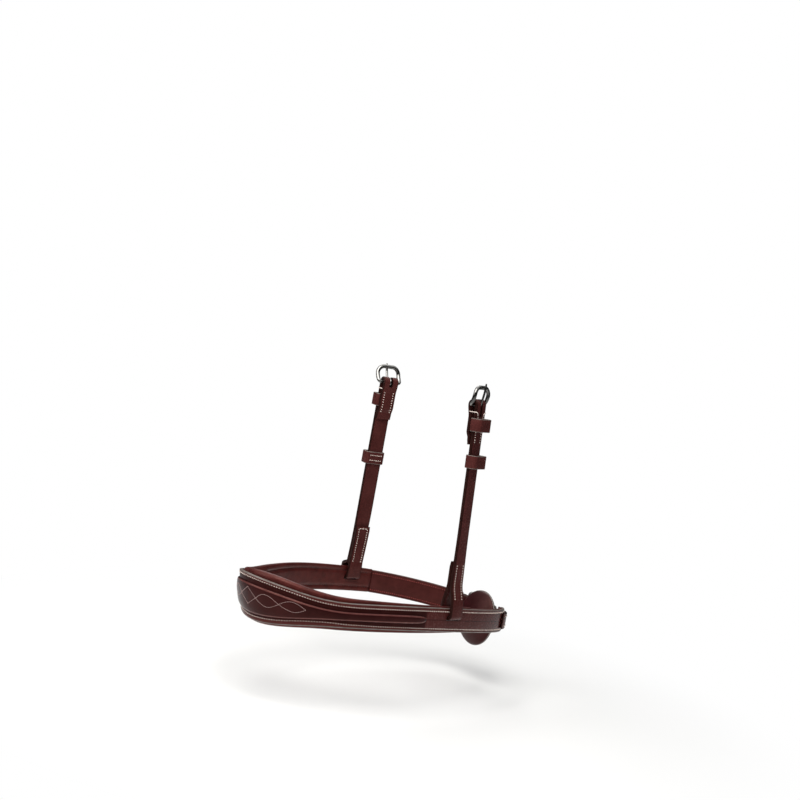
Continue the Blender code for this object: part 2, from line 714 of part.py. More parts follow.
near_run = [behind(d, sewn_out) for d in stations(CLOSING_SEWN, JAW_OPENING / 2 + GAP, STATION_STEP / 2)]
chord_start = Vector((PAD_LOOP_START + PAD_LOOP_LENGTH + PAD_LOOP_PLAY, strap_y, jaw.z))
chord_end = Vector((top_bar_x - BUCKLE_ARM_RADIUS, strap_y, jaw.z))
from_bar = chord_end - chape_bar
from_bar.z = 0
leave = math.atan2(from_bar.y, from_bar.x) + math.acos(over_bar / from_bar.length)
settle = math.atan2(bar_out.y, bar_out.x)
over_arc = [Vector((x, y, jaw.z)) for x, y in
            arc((chape_bar.x, chape_bar.y), over_bar, leave, settle, BAR_STEPS // 2)]
ride_run = [behind(-d, ride_out) for d in stations(CHAPE_BEND_END, CHAPE_TAIL, STATION_STEP)]
tail_run = [behind(-d, out) for out, d in
            eased((ride_out, CHAPE_TAIL), (sewn_out + CLOSING_RIDE, CLOSING_TAIL), TURN_STEPS)]
closing_path = near_run + bridged(near_run[-2:], [chord_start, chord_end], TURN_STEPS)
closing_path += [chord_start, chord_end] + over_arc + ride_run + tail_run
closing_widths = []
for point in closing_path:
    left = min((point - closing_path[-1]).length / CLOSING_POINT, 1.0)
    closing_widths.append(STRAP_WIDTH * (CLOSING_POINT_SHARE + (1 - CLOSING_POINT_SHARE) * left ** 0.5))
closing_rings = strap_rings(closing_path, Vector((0, 0, 1)), closing_widths, CLOSING_THICK, STRAP_EDGE)
closing_strap = finish("closing_strap", skinned("closing_strap", closing_rings), HAVANA)

# The closing buckle stands along the strap, its heel bar upright
frame_along = Vector((bar_run, bar_rise, 0)).normalized()
frame_face = Vector((-bar_rise, bar_run, 0)).normalized()
frame_basis = Matrix((frame_face, frame_along.cross(frame_face), frame_along)).transposed()
closing_pivot = add_buckle("closing", chape_bar, frame_basis)
tongue_turn = WIRE_RADIUS + GAP + 2 * TONGUE_RADIUS
cut(closing_strap, box_cutter("closing_tongue_hole",
                              (-BUCKLE_REACH / 2, -tongue_half, TONGUE_HOLE_START),
                              (BUCKLE_REACH / 2, tongue_half, TONGUE_HOLE_END), closing_pivot))
chape_reach = chape_fold + CHAPE_THICK
cut(chape, box_cutter("closing_tongue_slot",
                      (-chape_reach, -tongue_half, -tongue_turn - TONGUE_SLOT_PLAY),
                      (chape_reach, tongue_half, chape_reach + OVERRUN), closing_pivot))

# Keeper of the closing strap, sewn between the two layers of the chape
def at_chape(distance, outwards, up):
    """Point behind the jaw on the off side."""
    return behind(-distance, outwards, up)


rear_keeper_rings = keeper_rings(
    (chape_inner + CHAPE_THICK / 2 + GAP + KEEPER_THICK, -keeper_high[1]),
    (ride_out + CLOSING_THICK / 2 + 2 * GAP, keeper_high[1]),
    REAR_KEEPER_START, REAR_KEEPER_START + KEEPER_LENGTH, at_chape)
finish("closing_strap_keeper", skinned("closing_strap_keeper", rear_keeper_rings, closed=True), HAVANA)


# Chin pad: a round cushion bent to the ring's curve, with a thicker back in the middle
def chin_pad_mesh():
    mesh = bpy.data.meshes.new("chin_pad")
    shape = bmesh.new()
    bmesh.ops.create_uvsphere(shape, u_segments=PAD_SEGMENTS, v_segments=PAD_RINGS, radius=1)
    edge_out = -PAD_SETBACK
    boss_out = CLOSING_OUT - CLOSING_THICK / 2 - 2 * GAP - PAD_LOOP_THICK
    for corner in shape.verts:
        width_share, height_share, depth_share = corner.co
        from_middle = min((width_share ** 2 + height_share ** 2) ** 0.5, 1.0)
        height = height_share * PAD_HEIGHT / 2
        across = -width_share * PAD_WIDTH / 2
        lean = math.tan(PAD_LEAN) * height - across ** 2 / (2 * PAD_BEND_RADIUS)
        rim = PAD_RIM * (1 - from_middle ** PAD_RIM_POWER) ** 0.5
        if depth_share > 0:
            boss = fade(from_middle, PAD_BOSS_SHARE)
            out = edge_out - PAD_RIM + rim + (boss_out - edge_out) * boss
        else:
            dome = PAD_DOME * (1 - from_middle ** 2)
            out = edge_out - PAD_RIM - rim - dome
        corner.co = (across, jaw.y + out + lean, jaw.z + height - PAD_DROP)
    shape.to_mesh(mesh)
    shape.free()
    return smooth_mesh(mesh)


finish("chin_pad", chin_pad_mesh(), HAVANA_SOFT)

# Loop on the pad's back that the closing strap runs through
def at_jaw(distance, rearward, up):
    """Point behind the jaw, a distance to the near side of its middle."""
    return Vector((distance, rearward, jaw.z + up))


pad_loop_rings = keeper_rings(
    (strap_y - CLOSING_THICK / 2 - GAP, -keeper_high[1]),
    (strap_y + CLOSING_THICK / 2 + PAD_LOOP_PLAY, keeper_high[1]),
    PAD_LOOP_START, PAD_LOOP_START + PAD_LOOP_LENGTH, at_jaw)
finish("chin_pad_loop", skinned("chin_pad_loop", pad_loop_rings, closed=True), HAVANA)
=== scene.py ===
"""Looks of a bridle noseband: dark bridle leather with a raised and fancy-stitched front,
a soft lining, two cheekpieces, steel buckles and an oval chin pad. Metres, +Z up, +X to
the horse's near (left) side, -Y to the front of its nose."""

import json
from bisect import bisect_right
from math import acos, atan2, cos, exp, pi, radians, sin, tan

import bmesh
import bpy
from mathutils import Matrix, Quaternion, Vector, noise


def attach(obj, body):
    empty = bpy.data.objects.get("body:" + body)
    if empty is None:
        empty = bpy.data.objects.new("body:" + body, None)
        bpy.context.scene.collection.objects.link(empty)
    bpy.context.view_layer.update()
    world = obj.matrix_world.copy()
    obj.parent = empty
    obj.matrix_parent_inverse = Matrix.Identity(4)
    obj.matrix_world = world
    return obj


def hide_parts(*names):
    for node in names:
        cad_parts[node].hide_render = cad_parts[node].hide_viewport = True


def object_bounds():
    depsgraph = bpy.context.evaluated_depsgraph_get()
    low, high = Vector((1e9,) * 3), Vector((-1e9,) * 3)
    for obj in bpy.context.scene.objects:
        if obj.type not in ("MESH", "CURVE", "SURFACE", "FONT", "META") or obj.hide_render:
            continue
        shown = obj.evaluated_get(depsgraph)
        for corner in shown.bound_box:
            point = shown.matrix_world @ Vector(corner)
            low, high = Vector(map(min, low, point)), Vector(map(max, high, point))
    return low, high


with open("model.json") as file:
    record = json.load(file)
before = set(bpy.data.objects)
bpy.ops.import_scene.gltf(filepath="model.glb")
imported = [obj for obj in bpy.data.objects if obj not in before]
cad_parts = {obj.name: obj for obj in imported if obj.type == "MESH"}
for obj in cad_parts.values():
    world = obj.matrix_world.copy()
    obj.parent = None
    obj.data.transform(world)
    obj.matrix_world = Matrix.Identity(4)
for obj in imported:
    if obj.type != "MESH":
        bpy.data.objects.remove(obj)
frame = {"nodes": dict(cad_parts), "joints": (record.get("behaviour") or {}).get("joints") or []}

cad_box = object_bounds()
joints = {joint["name"]: joint for joint in frame["joints"]}

# Camera. It stands a little above the ring, to the near side of the nose, and is rolled,
# because the noseband hangs tilted in the picture
VIEW_AZIMUTH = radians(47.67)
VIEW_ELEVATION = radians(4.39)
VIEW_ROLL = radians(9.82)
VIEW_DISTANCE = 1.4
AIM = Vector((0, 0.1268, 0))
AIM_RIGHT = 0.0236
AIM_UP = 0.1796
LENS_MM = 70.0
SENSOR_MM = 36.0


def seen_from(azimuth, elevation):
    """Unit vector towards an azimuth, from the front to the near side, and an elevation."""
    return Vector((sin(azimuth) * cos(elevation), -cos(azimuth) * cos(elevation), sin(elevation)))


def add_object(name, data):
    """New object in the scene."""
    thing = bpy.data.objects.new(name, data)
    bpy.context.scene.collection.objects.link(thing)
    return thing


level_right = Vector((cos(VIEW_AZIMUTH), sin(VIEW_AZIMUTH), 0))
to_camera = seen_from(VIEW_AZIMUTH, VIEW_ELEVATION)
level_up = to_camera.cross(level_right)
view_right = level_right * cos(VIEW_ROLL) + level_up * sin(VIEW_ROLL)
view_up = level_up * cos(VIEW_ROLL) - level_right * sin(VIEW_ROLL)
camera_data = bpy.data.cameras.new("camera")
camera_data.lens = LENS_MM
camera_data.sensor_width = SENSOR_MM
camera = add_object("camera", camera_data)
camera.matrix_world = Matrix.Translation(
    AIM + to_camera * VIEW_DISTANCE + view_right * AIM_RIGHT + view_up * AIM_UP
) @ Matrix((view_right, view_up, to_camera)).transposed().to_4x4()
bpy.context.scene.camera = camera


# Outer leather of the nosepiece. The real one is one strip of 2.8 mm bridle leather, bent
# round the nose, with a panel down its middle that is moulded over a filling, edges that
# are burnished and painted, and a row of cream stitches along each edge
RIGHT = pi / 2
RING_FRONT = 0.1356
RING_REAR = 0.1480
RING_WIDTH = 0.1487
RING_SETBACK = 0.0088
SIDE_RISE = 0.0098
JAW_DROP = 0.0138
NOSE_LEAN = radians(13)
NOSE_LEAN_REACH = 0.110
ROUND_STEPS = 1440
LEATHER_THICK = 0.0028
EDGE_ROUND = 0.0008
EDGE_STEPS = 4
SIDE_HEIGHT = 0.0212
NOSE_TOP = 0.0246
NOSE_BOTTOM = 0.0153
TOP_TAPER = 0.107
TOP_TAPER_POWER = 1.7
BOTTOM_TAPER = 0.071
JAW_OPENING = 0.056
EDGE_MARGIN = 0.0068
PANEL_REACH = 0.162
PANEL_RAISE = 0.0026
PANEL_END_SHARE = 0.12
PANEL_ENDING_POWER = 30
PANEL_SHOULDER = 3.4
PANEL_EDGE_MARKS = (0.0, 0.0001, 0.0003, 0.0006, 0.0010, 0.0015, 0.0022)
PANEL_LEAST_HEIGHT = 0.0063
PANEL_FLAT_POINTS = 7
PANEL_POINTS = 2 * len(PANEL_EDGE_MARKS) + PANEL_FLAT_POINTS
PANEL_END_SHARES = (0.94, 0.955, 0.965, 0.975, 0.983, 0.99, 0.995, 0.9985, 1.0)
# Strips in from each edge of the panel that carry the ridges' painted highlight
RIDGE_STRIPS = (2, 3, 4)
CREASE_FROM_EDGE = 0.0014
CREASE_DEPTH = 0.00016
CREASE_WIDTH = 0.00030
SEAM_DEPTH = 0.00028
SEAM_WIDTH = 0.00060
TOP_SEAM_PLACES = ((0.0, 0.0021), (0.036, 0.0023), (0.061, 0.0029), (0.110, 0.0032), (0.200, 0.0029),
                   (0.330, 0.0023))
BOTTOM_SEAM_PLACES = ((0.0, 0.0041), (0.022, 0.0042), (0.048, 0.0047), (0.064, 0.0043), (0.090, 0.0032),
                      (0.115, 0.0028), (0.330, 0.0027))
BAND_STEP = 0.0022
GAP = 0.0003
LEAST_SHARP = radians(38)


def ring_length(angle):
    """Half length of the ring on the side of an angle."""
    return RING_FRONT if cos(angle) > 0 else RING_REAR


def plan_point(angle):
    """Point of the ring in plan, at an angle from the middle of the nose."""
    return Vector((RING_WIDTH / 2 * sin(angle), -ring_length(angle) * cos(angle), 0))


def run_lengths(points):
    """Length reached at each point of a run."""
    reached = [0.0]
    for one, two in zip(points, points[1:]):
        reached.append(reached[-1] + (two - one).length)
    return reached


round_lengths = run_lengths([plan_point(2 * pi * step / ROUND_STEPS) for step in range(ROUND_STEPS + 1)])
ROUND = round_lengths[-1]
band_end = (ROUND - JAW_OPENING) / 2


def angle_at(along):
    """Angle of the place that lies this far round the ring from the nose."""
    along = along % ROUND
    step = min(bisect_right(round_lengths, along), ROUND_STEPS)
    low, high = round_lengths[step - 1], round_lengths[step]
    return 2 * pi * (step - 1 + (along - low) / (high - low)) / ROUND_STEPS


def outward(along):
    """Unit vector away from the horse at a place on the ring."""
    angle = angle_at(along)
    return Vector((ring_length(angle) * sin(angle), -RING_WIDTH / 2 * cos(angle), 0)).normalized()


def fade(distance, reach):
    """1 at the nose, falling smoothly to 0 at the reach."""
    return 0.5 * (1 + cos(pi * min(abs(distance) / reach, 1.0)))


def smooth(share):
    """Share eased at both of its ends."""
    return share * share * (3 - 2 * share)


def blend(one, two, share):
    """Value between two, at a share of the way to the second."""
    return one + (two - one) * share


def place(along, out=0.0, up=0.0):
    """Point of the band: along the ring, out from the leather's back and up from its middle."""
    angle = angle_at(along)
    lean = NOSE_LEAN * fade(along, NOSE_LEAN_REACH)
    out, up = out * cos(lean) + up * sin(lean), up * cos(lean) - out * sin(lean)
    point = plan_point(angle) + outward(along) * out
    point.y += RING_FRONT - RING_SETBACK
    point.z = SIDE_RISE * sin(angle) ** 2 - JAW_DROP * (1 - cos(angle)) / 2 + up
    return point


def band_top(along):
    """Height of the band's top edge over its middle line."""
    return blend(SIDE_HEIGHT / 2, NOSE_TOP, fade(along, TOP_TAPER) ** TOP_TAPER_POWER)


def band_bottom(along):
    """Height of the band's bottom edge, below its middle line."""
    return blend(-SIDE_HEIGHT / 2, -NOSE_BOTTOM, fade(along, BOTTOM_TAPER))


def stations(start, end, step):
    """Evenly spaced places from start to end, about a step apart."""
    count = max(2, round(abs(end - start) / step) + 1)
    return [blend(start, end, i / (count - 1)) for i in range(count)]


def arc(centre, radius, start, end, count):
    """Points on an arc, with angles from the first axis."""
    turns = [blend(start, end, i / count) for i in range(count + 1)]
    return [(centre[0] + radius * cos(turn), centre[1] + radius * sin(turn)) for turn in turns]


def rounded(low, high, radius, steps=EDGE_STEPS):
    """The four rounded corners of a box, counter-clockwise from its high one."""
    left, right, foot, top = low[0] + radius, high[0] - radius, low[1] + radius, high[1] - radius
    centres = ((right, top), (left, top), (left, foot), (right, foot))
    return [arc(centre, radius, k * RIGHT, (k + 1) * RIGHT, steps) for k, centre in enumerate(centres)]


def dent(distance, middle, width, depth):
    """Depth of a rounded groove at a distance across it."""
    return -depth * exp(-((distance - middle) / width) ** 2)


def seam_from_edge(along, top):
    """Distance of a stitch row from the band's edge."""
    places = TOP_SEAM_PLACES if top else BOTTOM_SEAM_PLACES
    for (start, one), (end, two) in zip(places, places[1:]):
        if abs(along) <= end:
            return blend(one, two, smooth((abs(along) - start) / (end - start)))
    return places[-1][1]


def panel_shape(along):
    """Middle, half height and raise of the panel at a place along the band."""
    ending = max(1 - (abs(along) / PANEL_REACH) ** PANEL_ENDING_POWER, 0.0) ** 0.5
    half = (band_top(along) - band_bottom(along)) / 2 - EDGE_MARGIN
    half *= blend(PANEL_END_SHARE, 1, ending)
    return (band_top(along) + band_bottom(along)) / 2, half, PANEL_RAISE * ending


def panel_stand(share, raised):
    """How far the panel stands out at a share of its height."""
    return raised * max(1 - abs(2 * share - 1) ** PANEL_SHOULDER, 0.0) ** (1 / PANEL_SHOULDER)


def panel_line(along, out):
    """Section of the panel from bottom to top, with points close together at its edges."""
    middle, half, raised = panel_shape(along)
    edge = [distance / max(2 * half, PANEL_LEAST_HEIGHT) for distance in PANEL_EDGE_MARKS]
    steps = PANEL_FLAT_POINTS + 1
    flat = [blend(edge[-1], 1 - edge[-1], i / steps) for i in range(1, steps)]
    shares = edge + flat + [1 - share for share in edge[::-1]]
    return [(out + panel_stand(share, raised), middle + half * (2 * share - 1)) for share in shares]


def band_face(along):
    """Outer face of the band from its bottom edge to its top edge."""
    face = []
    for side, edge in ((1, band_bottom(along)), (-1, band_top(along))):
        row = seam_from_edge(along, side < 0)
        marks = [EDGE_ROUND] + [CREASE_FROM_EDGE + CREASE_WIDTH * share for share in (-1, 0, 1)]
        marks += [row + SEAM_WIDTH * share for share in (-1.0, -0.5, 0.0, 0.5, 1.0, 1.8)]
        run = []
        for mark in marks:
            relief = dent(mark, CREASE_FROM_EDGE, CREASE_WIDTH, CREASE_DEPTH)
            relief += dent(mark, row, SEAM_WIDTH, SEAM_DEPTH)
            relief *= min((mark - EDGE_ROUND) / EDGE_ROUND, 1.0)
            run.append((LEATHER_THICK + relief, edge + side * mark))
        face.append(run)
    return face[0] + panel_line(along, LEATHER_THICK) + face[1][::-1]


def band_ring(along):
    """Whole section of the band's leather: outer face, top edge, back, bottom edge."""
    turns = rounded((0.0, band_bottom(along)), (LEATHER_THICK, band_top(along)), EDGE_ROUND)
    section = band_face(along) + turns[0][1:] + turns[1] + panel_line(along, 0.0)[::-3] + turns[2]
    return [place(along, out, up) for out, up in section + turns[3][:-1]]


def linear(hex_colour):
    """Linear colour of an sRGB hex value."""
    channels = [int(hex_colour[i:i + 2], 16) / 255 for i in (1, 3, 5)]
    return (*[c / 12.92 if c <= 0.04045 else ((c + 0.055) / 1.055) ** 2.4 for c in channels], 1.0)


def add_node(tree, kind, values=None, links=None, **options):
    """Add a shader node with its options, its sockets' values and the sockets that feed it."""
    node = tree.nodes.new("ShaderNode" + kind)
    for option, value in options.items():
        setattr(node, option, value)
    for socket, value in (values or {}).items():
        node.inputs[socket].default_value = value
    for socket, source in (links or {}).items():
        tree.links.new(source, node.inputs[socket])
    return node


def surface(name):
    """New material, its node tree, its surface and the place on the piece in metres."""
    material = bpy.data.materials.new(name)
    material.use_nodes = True
    tree = material.node_tree
    return material, tree, tree.nodes["Principled BSDF"], add_node(tree, "TexCoord").outputs["Object"]


def cloud(tree, spot, size_mm, detail, **more):
    """Soft noise with patches of a size in millimetres."""
    values = {"Scale": 1000 / size_mm, "Detail": detail, **more}
    return add_node(tree, "TexNoise", values, {"Vector": spot}).outputs["Fac"]


def maths(tree, operation, one, two):
    """What a maths node makes of two sockets."""
    return add_node(tree, "Math", None, {0: one, 1: two}, operation=operation).outputs[0]


def ramp(tree, value, start, end, low=0.0, high=1.0, **options):
    """A socket's value carried from one range to another."""
    values = {"From Min": start, "From Max": end, "To Min": low, "To Max": high}
    return add_node(tree, "MapRange", values, {"Value": value}, **options).outputs["Result"]


def finish(tree, skin, deep, pale, share, height=None, strength=0.0, depth=0.0):
    """Colour a surface between two tones by a share, and give it fine relief by a height."""
    tone = add_node(tree, "Mix", {6: linear(deep), 7: linear(pale)}, {0: share}, data_type="RGBA")
    tree.links.new(tone.outputs[2], skin.inputs["Base Color"])
    if height:
        bump = add_node(tree, "Bump", {"Strength": strength, "Distance": depth}, {"Height": height})
        tree.links.new(bump.outputs["Normal"], skin.inputs["Normal"])


def leather(name, deep, pale, patch_mm, grain_mm, grain_depth_mm, roughness, shine, gleam="#d9a398"):
    """Tanned and dyed hide: uneven dye in patches, pores and fine wrinkles, and a waxed coat."""
    material, tree, skin, spot = surface(name)
    skin.inputs["IOR"].default_value = 1.5
    skin.inputs["Specular IOR Level"].default_value = shine
    skin.inputs["Specular Tint"].default_value = linear(gleam)
    spread = ramp(tree, cloud(tree, spot, patch_mm, 6.0, Roughness=0.62), 0.33, 0.67)
    pores = add_node(tree, "TexVoronoi", {"Scale": 1000 / grain_mm, "Randomness": 0.9}, {"Vector": spot})
    folds = cloud(tree, spot, grain_mm * 3, 5.0, Distortion=0.6)
    relief = maths(tree, "ADD", pores.outputs["Distance"], folds)
    finish(tree, skin, deep, pale, spread, relief, 0.6, grain_depth_mm / 1000)
    tree.links.new(ramp(tree, folds, 0.3, 0.7, roughness - 0.07, roughness + 0.07), skin.inputs["Roughness"])
    return material


# Vegetable tanned bridle leather, dyed dark havana and plated smooth: it reads as a deep
# wine brown with a soft waxy light along its bends, and almost no grain
bridle_leather = leather("havana_bridle_leather", "#45211f", "#4f2725", 16, 0.55, 0.04, 0.25, 0.26)

# The same hide where it is moulded over the filling: stretched, so darker and glossier
moulded_leather = leather("moulded_havana_leather", "#260c0c", "#331414", 22, 0.60, 0.02, 0.20, 0.26)

# The hollow between a stitch row and the panel: painted shade, the leather coloured darker to stand in for
# the shadow of the crease
hollow_leather = leather("painted_shade_hollow_leather", "#280d0c", "#341514", 16, 0.55, 0.04, 0.34, 0.10)

# The panel's two ridges: painted highlight, the leather coloured paler and given more shine where light
# catches the shoulders
ridge_leather = leather("painted_highlight_ridge_leather", "#512c2a", "#643d39", 16, 0.55, 0.03, 0.24, 0.6)

# Acrylic edge paint over burnished fibres: a grey-brown line, satin, slightly lumpy
edge_paint = leather("grey_painted_leather_edge", "#5e524d", "#7a6f69", 5, 0.9, 0.05, 0.34, 0.4, "#ffffff")

# The cheekpieces' and straps' edges are only dyed and slicked, so they stay nearly black
slicked_edge = leather("slicked_dark_leather_edge", "#1d0c0a", "#2b1512", 5, 0.9, 0.05, 0.34, 0.3)


def thread(name, deep, pale):
    """Waxed twisted thread: strands cross it as fine slanted ridges."""
    material, tree, yarn, spot = surface(name)
    yarn.inputs["Roughness"].default_value = 0.55
    yarn.inputs["Sheen Weight"].default_value = 0.15
    strands = add_node(tree, "TexWave", {"Scale": 1000 / 1.6, "Distortion": 1.5}, {"Vector": spot},
                       bands_direction="DIAGONAL")
    finish(tree, yarn, deep, pale, cloud(tree, spot, 3.0, 3.0), strands.outputs["Fac"], 0.5, 0.0001)
    return material


# Cream linen thread, waxed, drawn a little thicker than the real 0.6 mm so that it shows
cream_thread = thread("waxed_cream_linen_thread", "#cbb6aa", "#f0e3d9")


def put(name, mesh, materials, replaced=None, body="noseband"):
    """Place a finished piece on its body and for its solid."""
    for material in materials:
        mesh.materials.append(material)
    mesh.shade_smooth()
    mesh.set_sharp_from_angle(angle=LEAST_SHARP)
    piece = add_object(name, mesh)
    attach(piece, body)
    if replaced:
        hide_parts(replaced)
    return piece


def solid(name, points, faces, parts=None, weld=0.0):
    """Closed mesh, faces turned outwards, in the finishes of parts, near points welded."""
    mesh = bpy.data.meshes.new(name)
    mesh.from_pydata(points, [], faces)
    if parts:
        mesh.polygons.foreach_set("material_index", parts)
    shape = bmesh.new()
    shape.from_mesh(mesh)
    bmesh.ops.recalc_face_normals(shape, faces=shape.faces)
    if weld:
        bmesh.ops.remove_doubles(shape, verts=shape.verts, dist=weld)
    shape.to_mesh(mesh)
    shape.free()
    return mesh


def ring_faces(rings, count, first=0, closed=False):
    """Faces between rings of points numbered from first, and over the ends of an open run."""
    faces = []
    for low in range(rings if closed else rings - 1):
        one, two = first + low * count, first + (low + 1) % rings * count
        faces += [(one + i, one + (i + 1) % count, two + (i + 1) % count, two + i) for i in range(count)]
    if not closed:
        faces += [range(first, first + count), range(first + (rings - 1) * count, first + rings * count)]
    return faces


def loft(name, rings, strips=lambda i: 0, closed=False, weld=0.0):
    """Skin through rings of points, strip i of it in the finish strips(i), ends filled."""
    count = len(rings[0])
    finishes = [strips(i) for i in range(count)]
    parts = finishes * len(rings) if closed else finishes * (len(rings) - 1) + [max(finishes)] * 2
    points = [point for ring in rings for point in ring]
    return solid(name, points, ring_faces(len(rings), count, 0, closed), parts, weld)


def cut_box(mesh, low, high, matrix=Matrix.Identity(4), rounding=0.0, part=1):
    """Mesh with a box cut out of it, whose corners are given in a matrix's frame."""
    shape = bmesh.new()
    bmesh.ops.create_cube(shape, size=1)
    bmesh.ops.scale(shape, vec=Vector(high) - Vector(low), verts=shape.verts)
    bmesh.ops.translate(shape, vec=(Vector(high) + Vector(low)) / 2, verts=shape.verts)
    if rounding:
        through = [edge for edge in shape.edges if edge.verts[0].co.x * edge.verts[1].co.x < 0]
        bmesh.ops.bevel(shape, geom=through, offset=rounding, segments=4, affect="EDGES", profile=0.5)
    bmesh.ops.transform(shape, matrix=matrix, verts=shape.verts)
    for face in shape.faces:
        face.material_index = part
    tool_mesh = bpy.data.meshes.new("cutter")
    shape.to_mesh(tool_mesh)
    shape.free()
    tool, work = add_object("cutter", tool_mesh), add_object("work", mesh)
    step = work.modifiers.new("cut", "BOOLEAN")
    step.object = tool
    step.operation = "DIFFERENCE"
    step.solver = "EXACT"
    bpy.context.view_layer.update()
    result = bpy.data.meshes.new_from_object(work.evaluated_get(bpy.context.evaluated_depsgraph_get()))
    result.name = mesh.name
    for helper in (work, tool):
        bpy.data.objects.remove(helper)
    return result


SIDES = {"near": 1, "off": -1}
CHEEK_ALONGS = {"near": 0.1947, "off": 0.1994}
OUTWARD_LEANS = {"near": radians(-4.6), "off": radians(-2.6)}
REARWARD_LEAN = radians(2.0)
SLOT_HALF = 0.0081
SLOT_LOW = 0.0004
SLOT_HEIGHT = 0.0044
SLOT_CORNER = 0.0011
SLOT_REACH = 0.0062
ROLL_SIDE = 0.0010
band_pivot_up = (-SLOT_LOW + SLOT_HEIGHT + SIDE_HEIGHT / 2 + ROLL_SIDE) / 2
slot_low = -SLOT_LOW - band_pivot_up


def cheek_matrix(side_name):
    """Frame of a cheekpiece at the band: its joint, X away from the horse, Y across, Z up."""
    away = outward(SIDES[side_name] * CHEEK_ALONGS[side_name])
    rearward = Vector((-away.y, away.x, 0)) * SIDES[side_name]
    upward = Vector((0, 0, 1)) + away * tan(OUTWARD_LEANS[side_name]) + rearward * tan(REARWARD_LEAN)
    upward.normalize()
    across = upward.cross(away).normalized()
    turned = Matrix((across.cross(upward), across, upward)).transposed().to_4x4()
    return Matrix.Translation(Vector(joints[side_name + "_cheek_swing"]["pos_m"])) @ turned


def slotted(mesh):
    """Mesh with the slots cut that the cheekpieces' loops go through."""
    low, high = (-SLOT_REACH, -SLOT_HALF, slot_low), (SLOT_REACH, SLOT_HALF, slot_low + SLOT_HEIGHT)
    for side_name in SIDES:
        mesh = cut_box(mesh, low, high, cheek_matrix(side_name), SLOT_CORNER, 0)
    return mesh


face_count = len(band_face(0.0))
panel_start = (face_count - PANEL_POINTS) // 2
panel_end = panel_start + PANEL_POINTS - 1
edge_strips = 2 * EDGE_STEPS + 1
back_count = len(panel_line(0.0, 0.0)[::-3]) + 1
band_count = len(band_ring(0.0))


def band_strip(i):
    """0 plain leather, 1 the panel, 2 the painted edges, 3 painted shade beside the panel, 4 painted
    highlight on the panel's ridges.
    """
    if panel_start <= i < panel_end:
        return 4 if min(i - panel_start, panel_end - 1 - i) in RIDGE_STRIPS else 1
    if panel_start - 2 <= i < panel_end + 2:
        return 3
    if i == 0 or face_count <= i < face_count - 1 + edge_strips:
        return 2
    return 2 if face_count - 1 + edge_strips + back_count <= i < band_count else 0


band_places = sorted(set(stations(-band_end, band_end, BAND_STEP)
                         + [side * PANEL_REACH * share for side in (-1, 1) for share in PANEL_END_SHARES]))
band_mesh = slotted(loft("nosepiece_leather", [band_ring(a) for a in band_places], band_strip))
# The painted shade and painted highlight stop where the panel ends
for face in band_mesh.polygons:
    if face.material_index in (3, 4) and face.center.y > place(PANEL_REACH).y:
        face.material_index = 0
put("nosepiece_outer_leather", band_mesh,
    [bridle_leather, moulded_leather, edge_paint, hollow_leather, ridge_leather], "nosepiece_leather")


# Stitching. Saddle stitches are short slanted strokes that dive into their own holes; the
# same little stroke makes every seam of the noseband
STITCH_PITCH = 0.00228
STITCH_RADIUS = 0.00043
STITCH_SHARE = 0.44
STITCH_SLANT = 0.00036
STITCH_SIDES = 7
STITCH_SWELL = ((0.0, 0.30), (0.12, 0.72), (0.32, 1.0), (0.68, 1.0), (0.88, 0.72), (1.0, 0.30))
STITCH_ARCH = 1.3
STITCH_SUNK = 0.75
SEAM_END_MARGIN = 0.0035
seam_end = band_end - SEAM_END_MARGIN
row_out = LEATHER_THICK - SEAM_DEPTH / 2


def seam(line, pitch, slant=STITCH_SLANT, share=STITCH_SHARE):
    """Stitches along a line of (point, normal): the start, end and normal of each."""
    reached = run_lengths([point for point, normal in line])

    def at(distance):
        k = min(max(bisect_right(reached, distance), 1), len(line) - 1)
        t = (distance - reached[k - 1]) / (reached[k] - reached[k - 1])
        return line[k - 1][0].lerp(line[k][0], t), line[k - 1][1].lerp(line[k][1], t).normalized()

    count = max(1, round(reached[-1] / pitch))
    pitch = reached[-1] / count
    stitches = []
    for k in range(count):
        start, normal = at((k + 0.5 - share / 2) * pitch)
        end = at((k + 0.5 + share / 2) * pitch)[0]
        aside = (end - start).normalized().cross(normal) * slant
        stitches.append((start - aside, end + aside, normal))
    return stitches


def hoop(middle, one, two, count):
    """Ring of points round a middle, from one arm towards the other."""
    return [middle + one * cos(2 * pi * k / count) + two * sin(2 * pi * k / count) for k in range(count)]


def sew(name, stitches, radius, material, body="noseband"):
    """One piece of many stitches."""
    points = []
    faces = []
    for start, end, normal in stitches:
        aside = (end - start).normalized().cross(normal).normalized()
        faces += ring_faces(len(STITCH_SWELL), STITCH_SIDES, len(points))
        for t, width in STITCH_SWELL:
            middle = start.lerp(end, t) + normal * radius * (STITCH_ARCH * sin(pi * t) - STITCH_SUNK)
            points += hoop(middle, aside * radius * width, normal * radius * width, STITCH_SIDES)
    return put(name, solid(name, points, faces), [material], None, body)


def band_line(start, end, out, height, inward=False):
    """Points and normals along the band, with out and height worked out at each place."""
    line = []
    for along in stations(start, end, BAND_STEP):
        point = place(along, out(along), height(along))
        beyond = place(along, out(along) + LEATHER_THICK, height(along))
        line.append((point, (point - beyond if inward else beyond - point).normalized()))
    return line


def row_height(along, top):
    """Height of a stitch row along the band's top or bottom edge."""
    offset = seam_from_edge(along, top)
    return band_top(along) - offset if top else band_bottom(along) + offset


band_rows = []
for top in (True, False):
    row = band_line(-seam_end, seam_end, lambda a: row_out, lambda a: row_height(a, top))
    band_rows += seam(row, STITCH_PITCH)
for side in (-1, 1):
    heights = stations(row_height(seam_end, False), row_height(seam_end, True), BAND_STEP)
    row = [(place(side * seam_end, row_out, up), outward(side * seam_end)) for up in heights]
    band_rows += seam(row, STITCH_PITCH)
sew("nosepiece_edge_stitching", band_rows, STITCH_RADIUS, cream_thread)

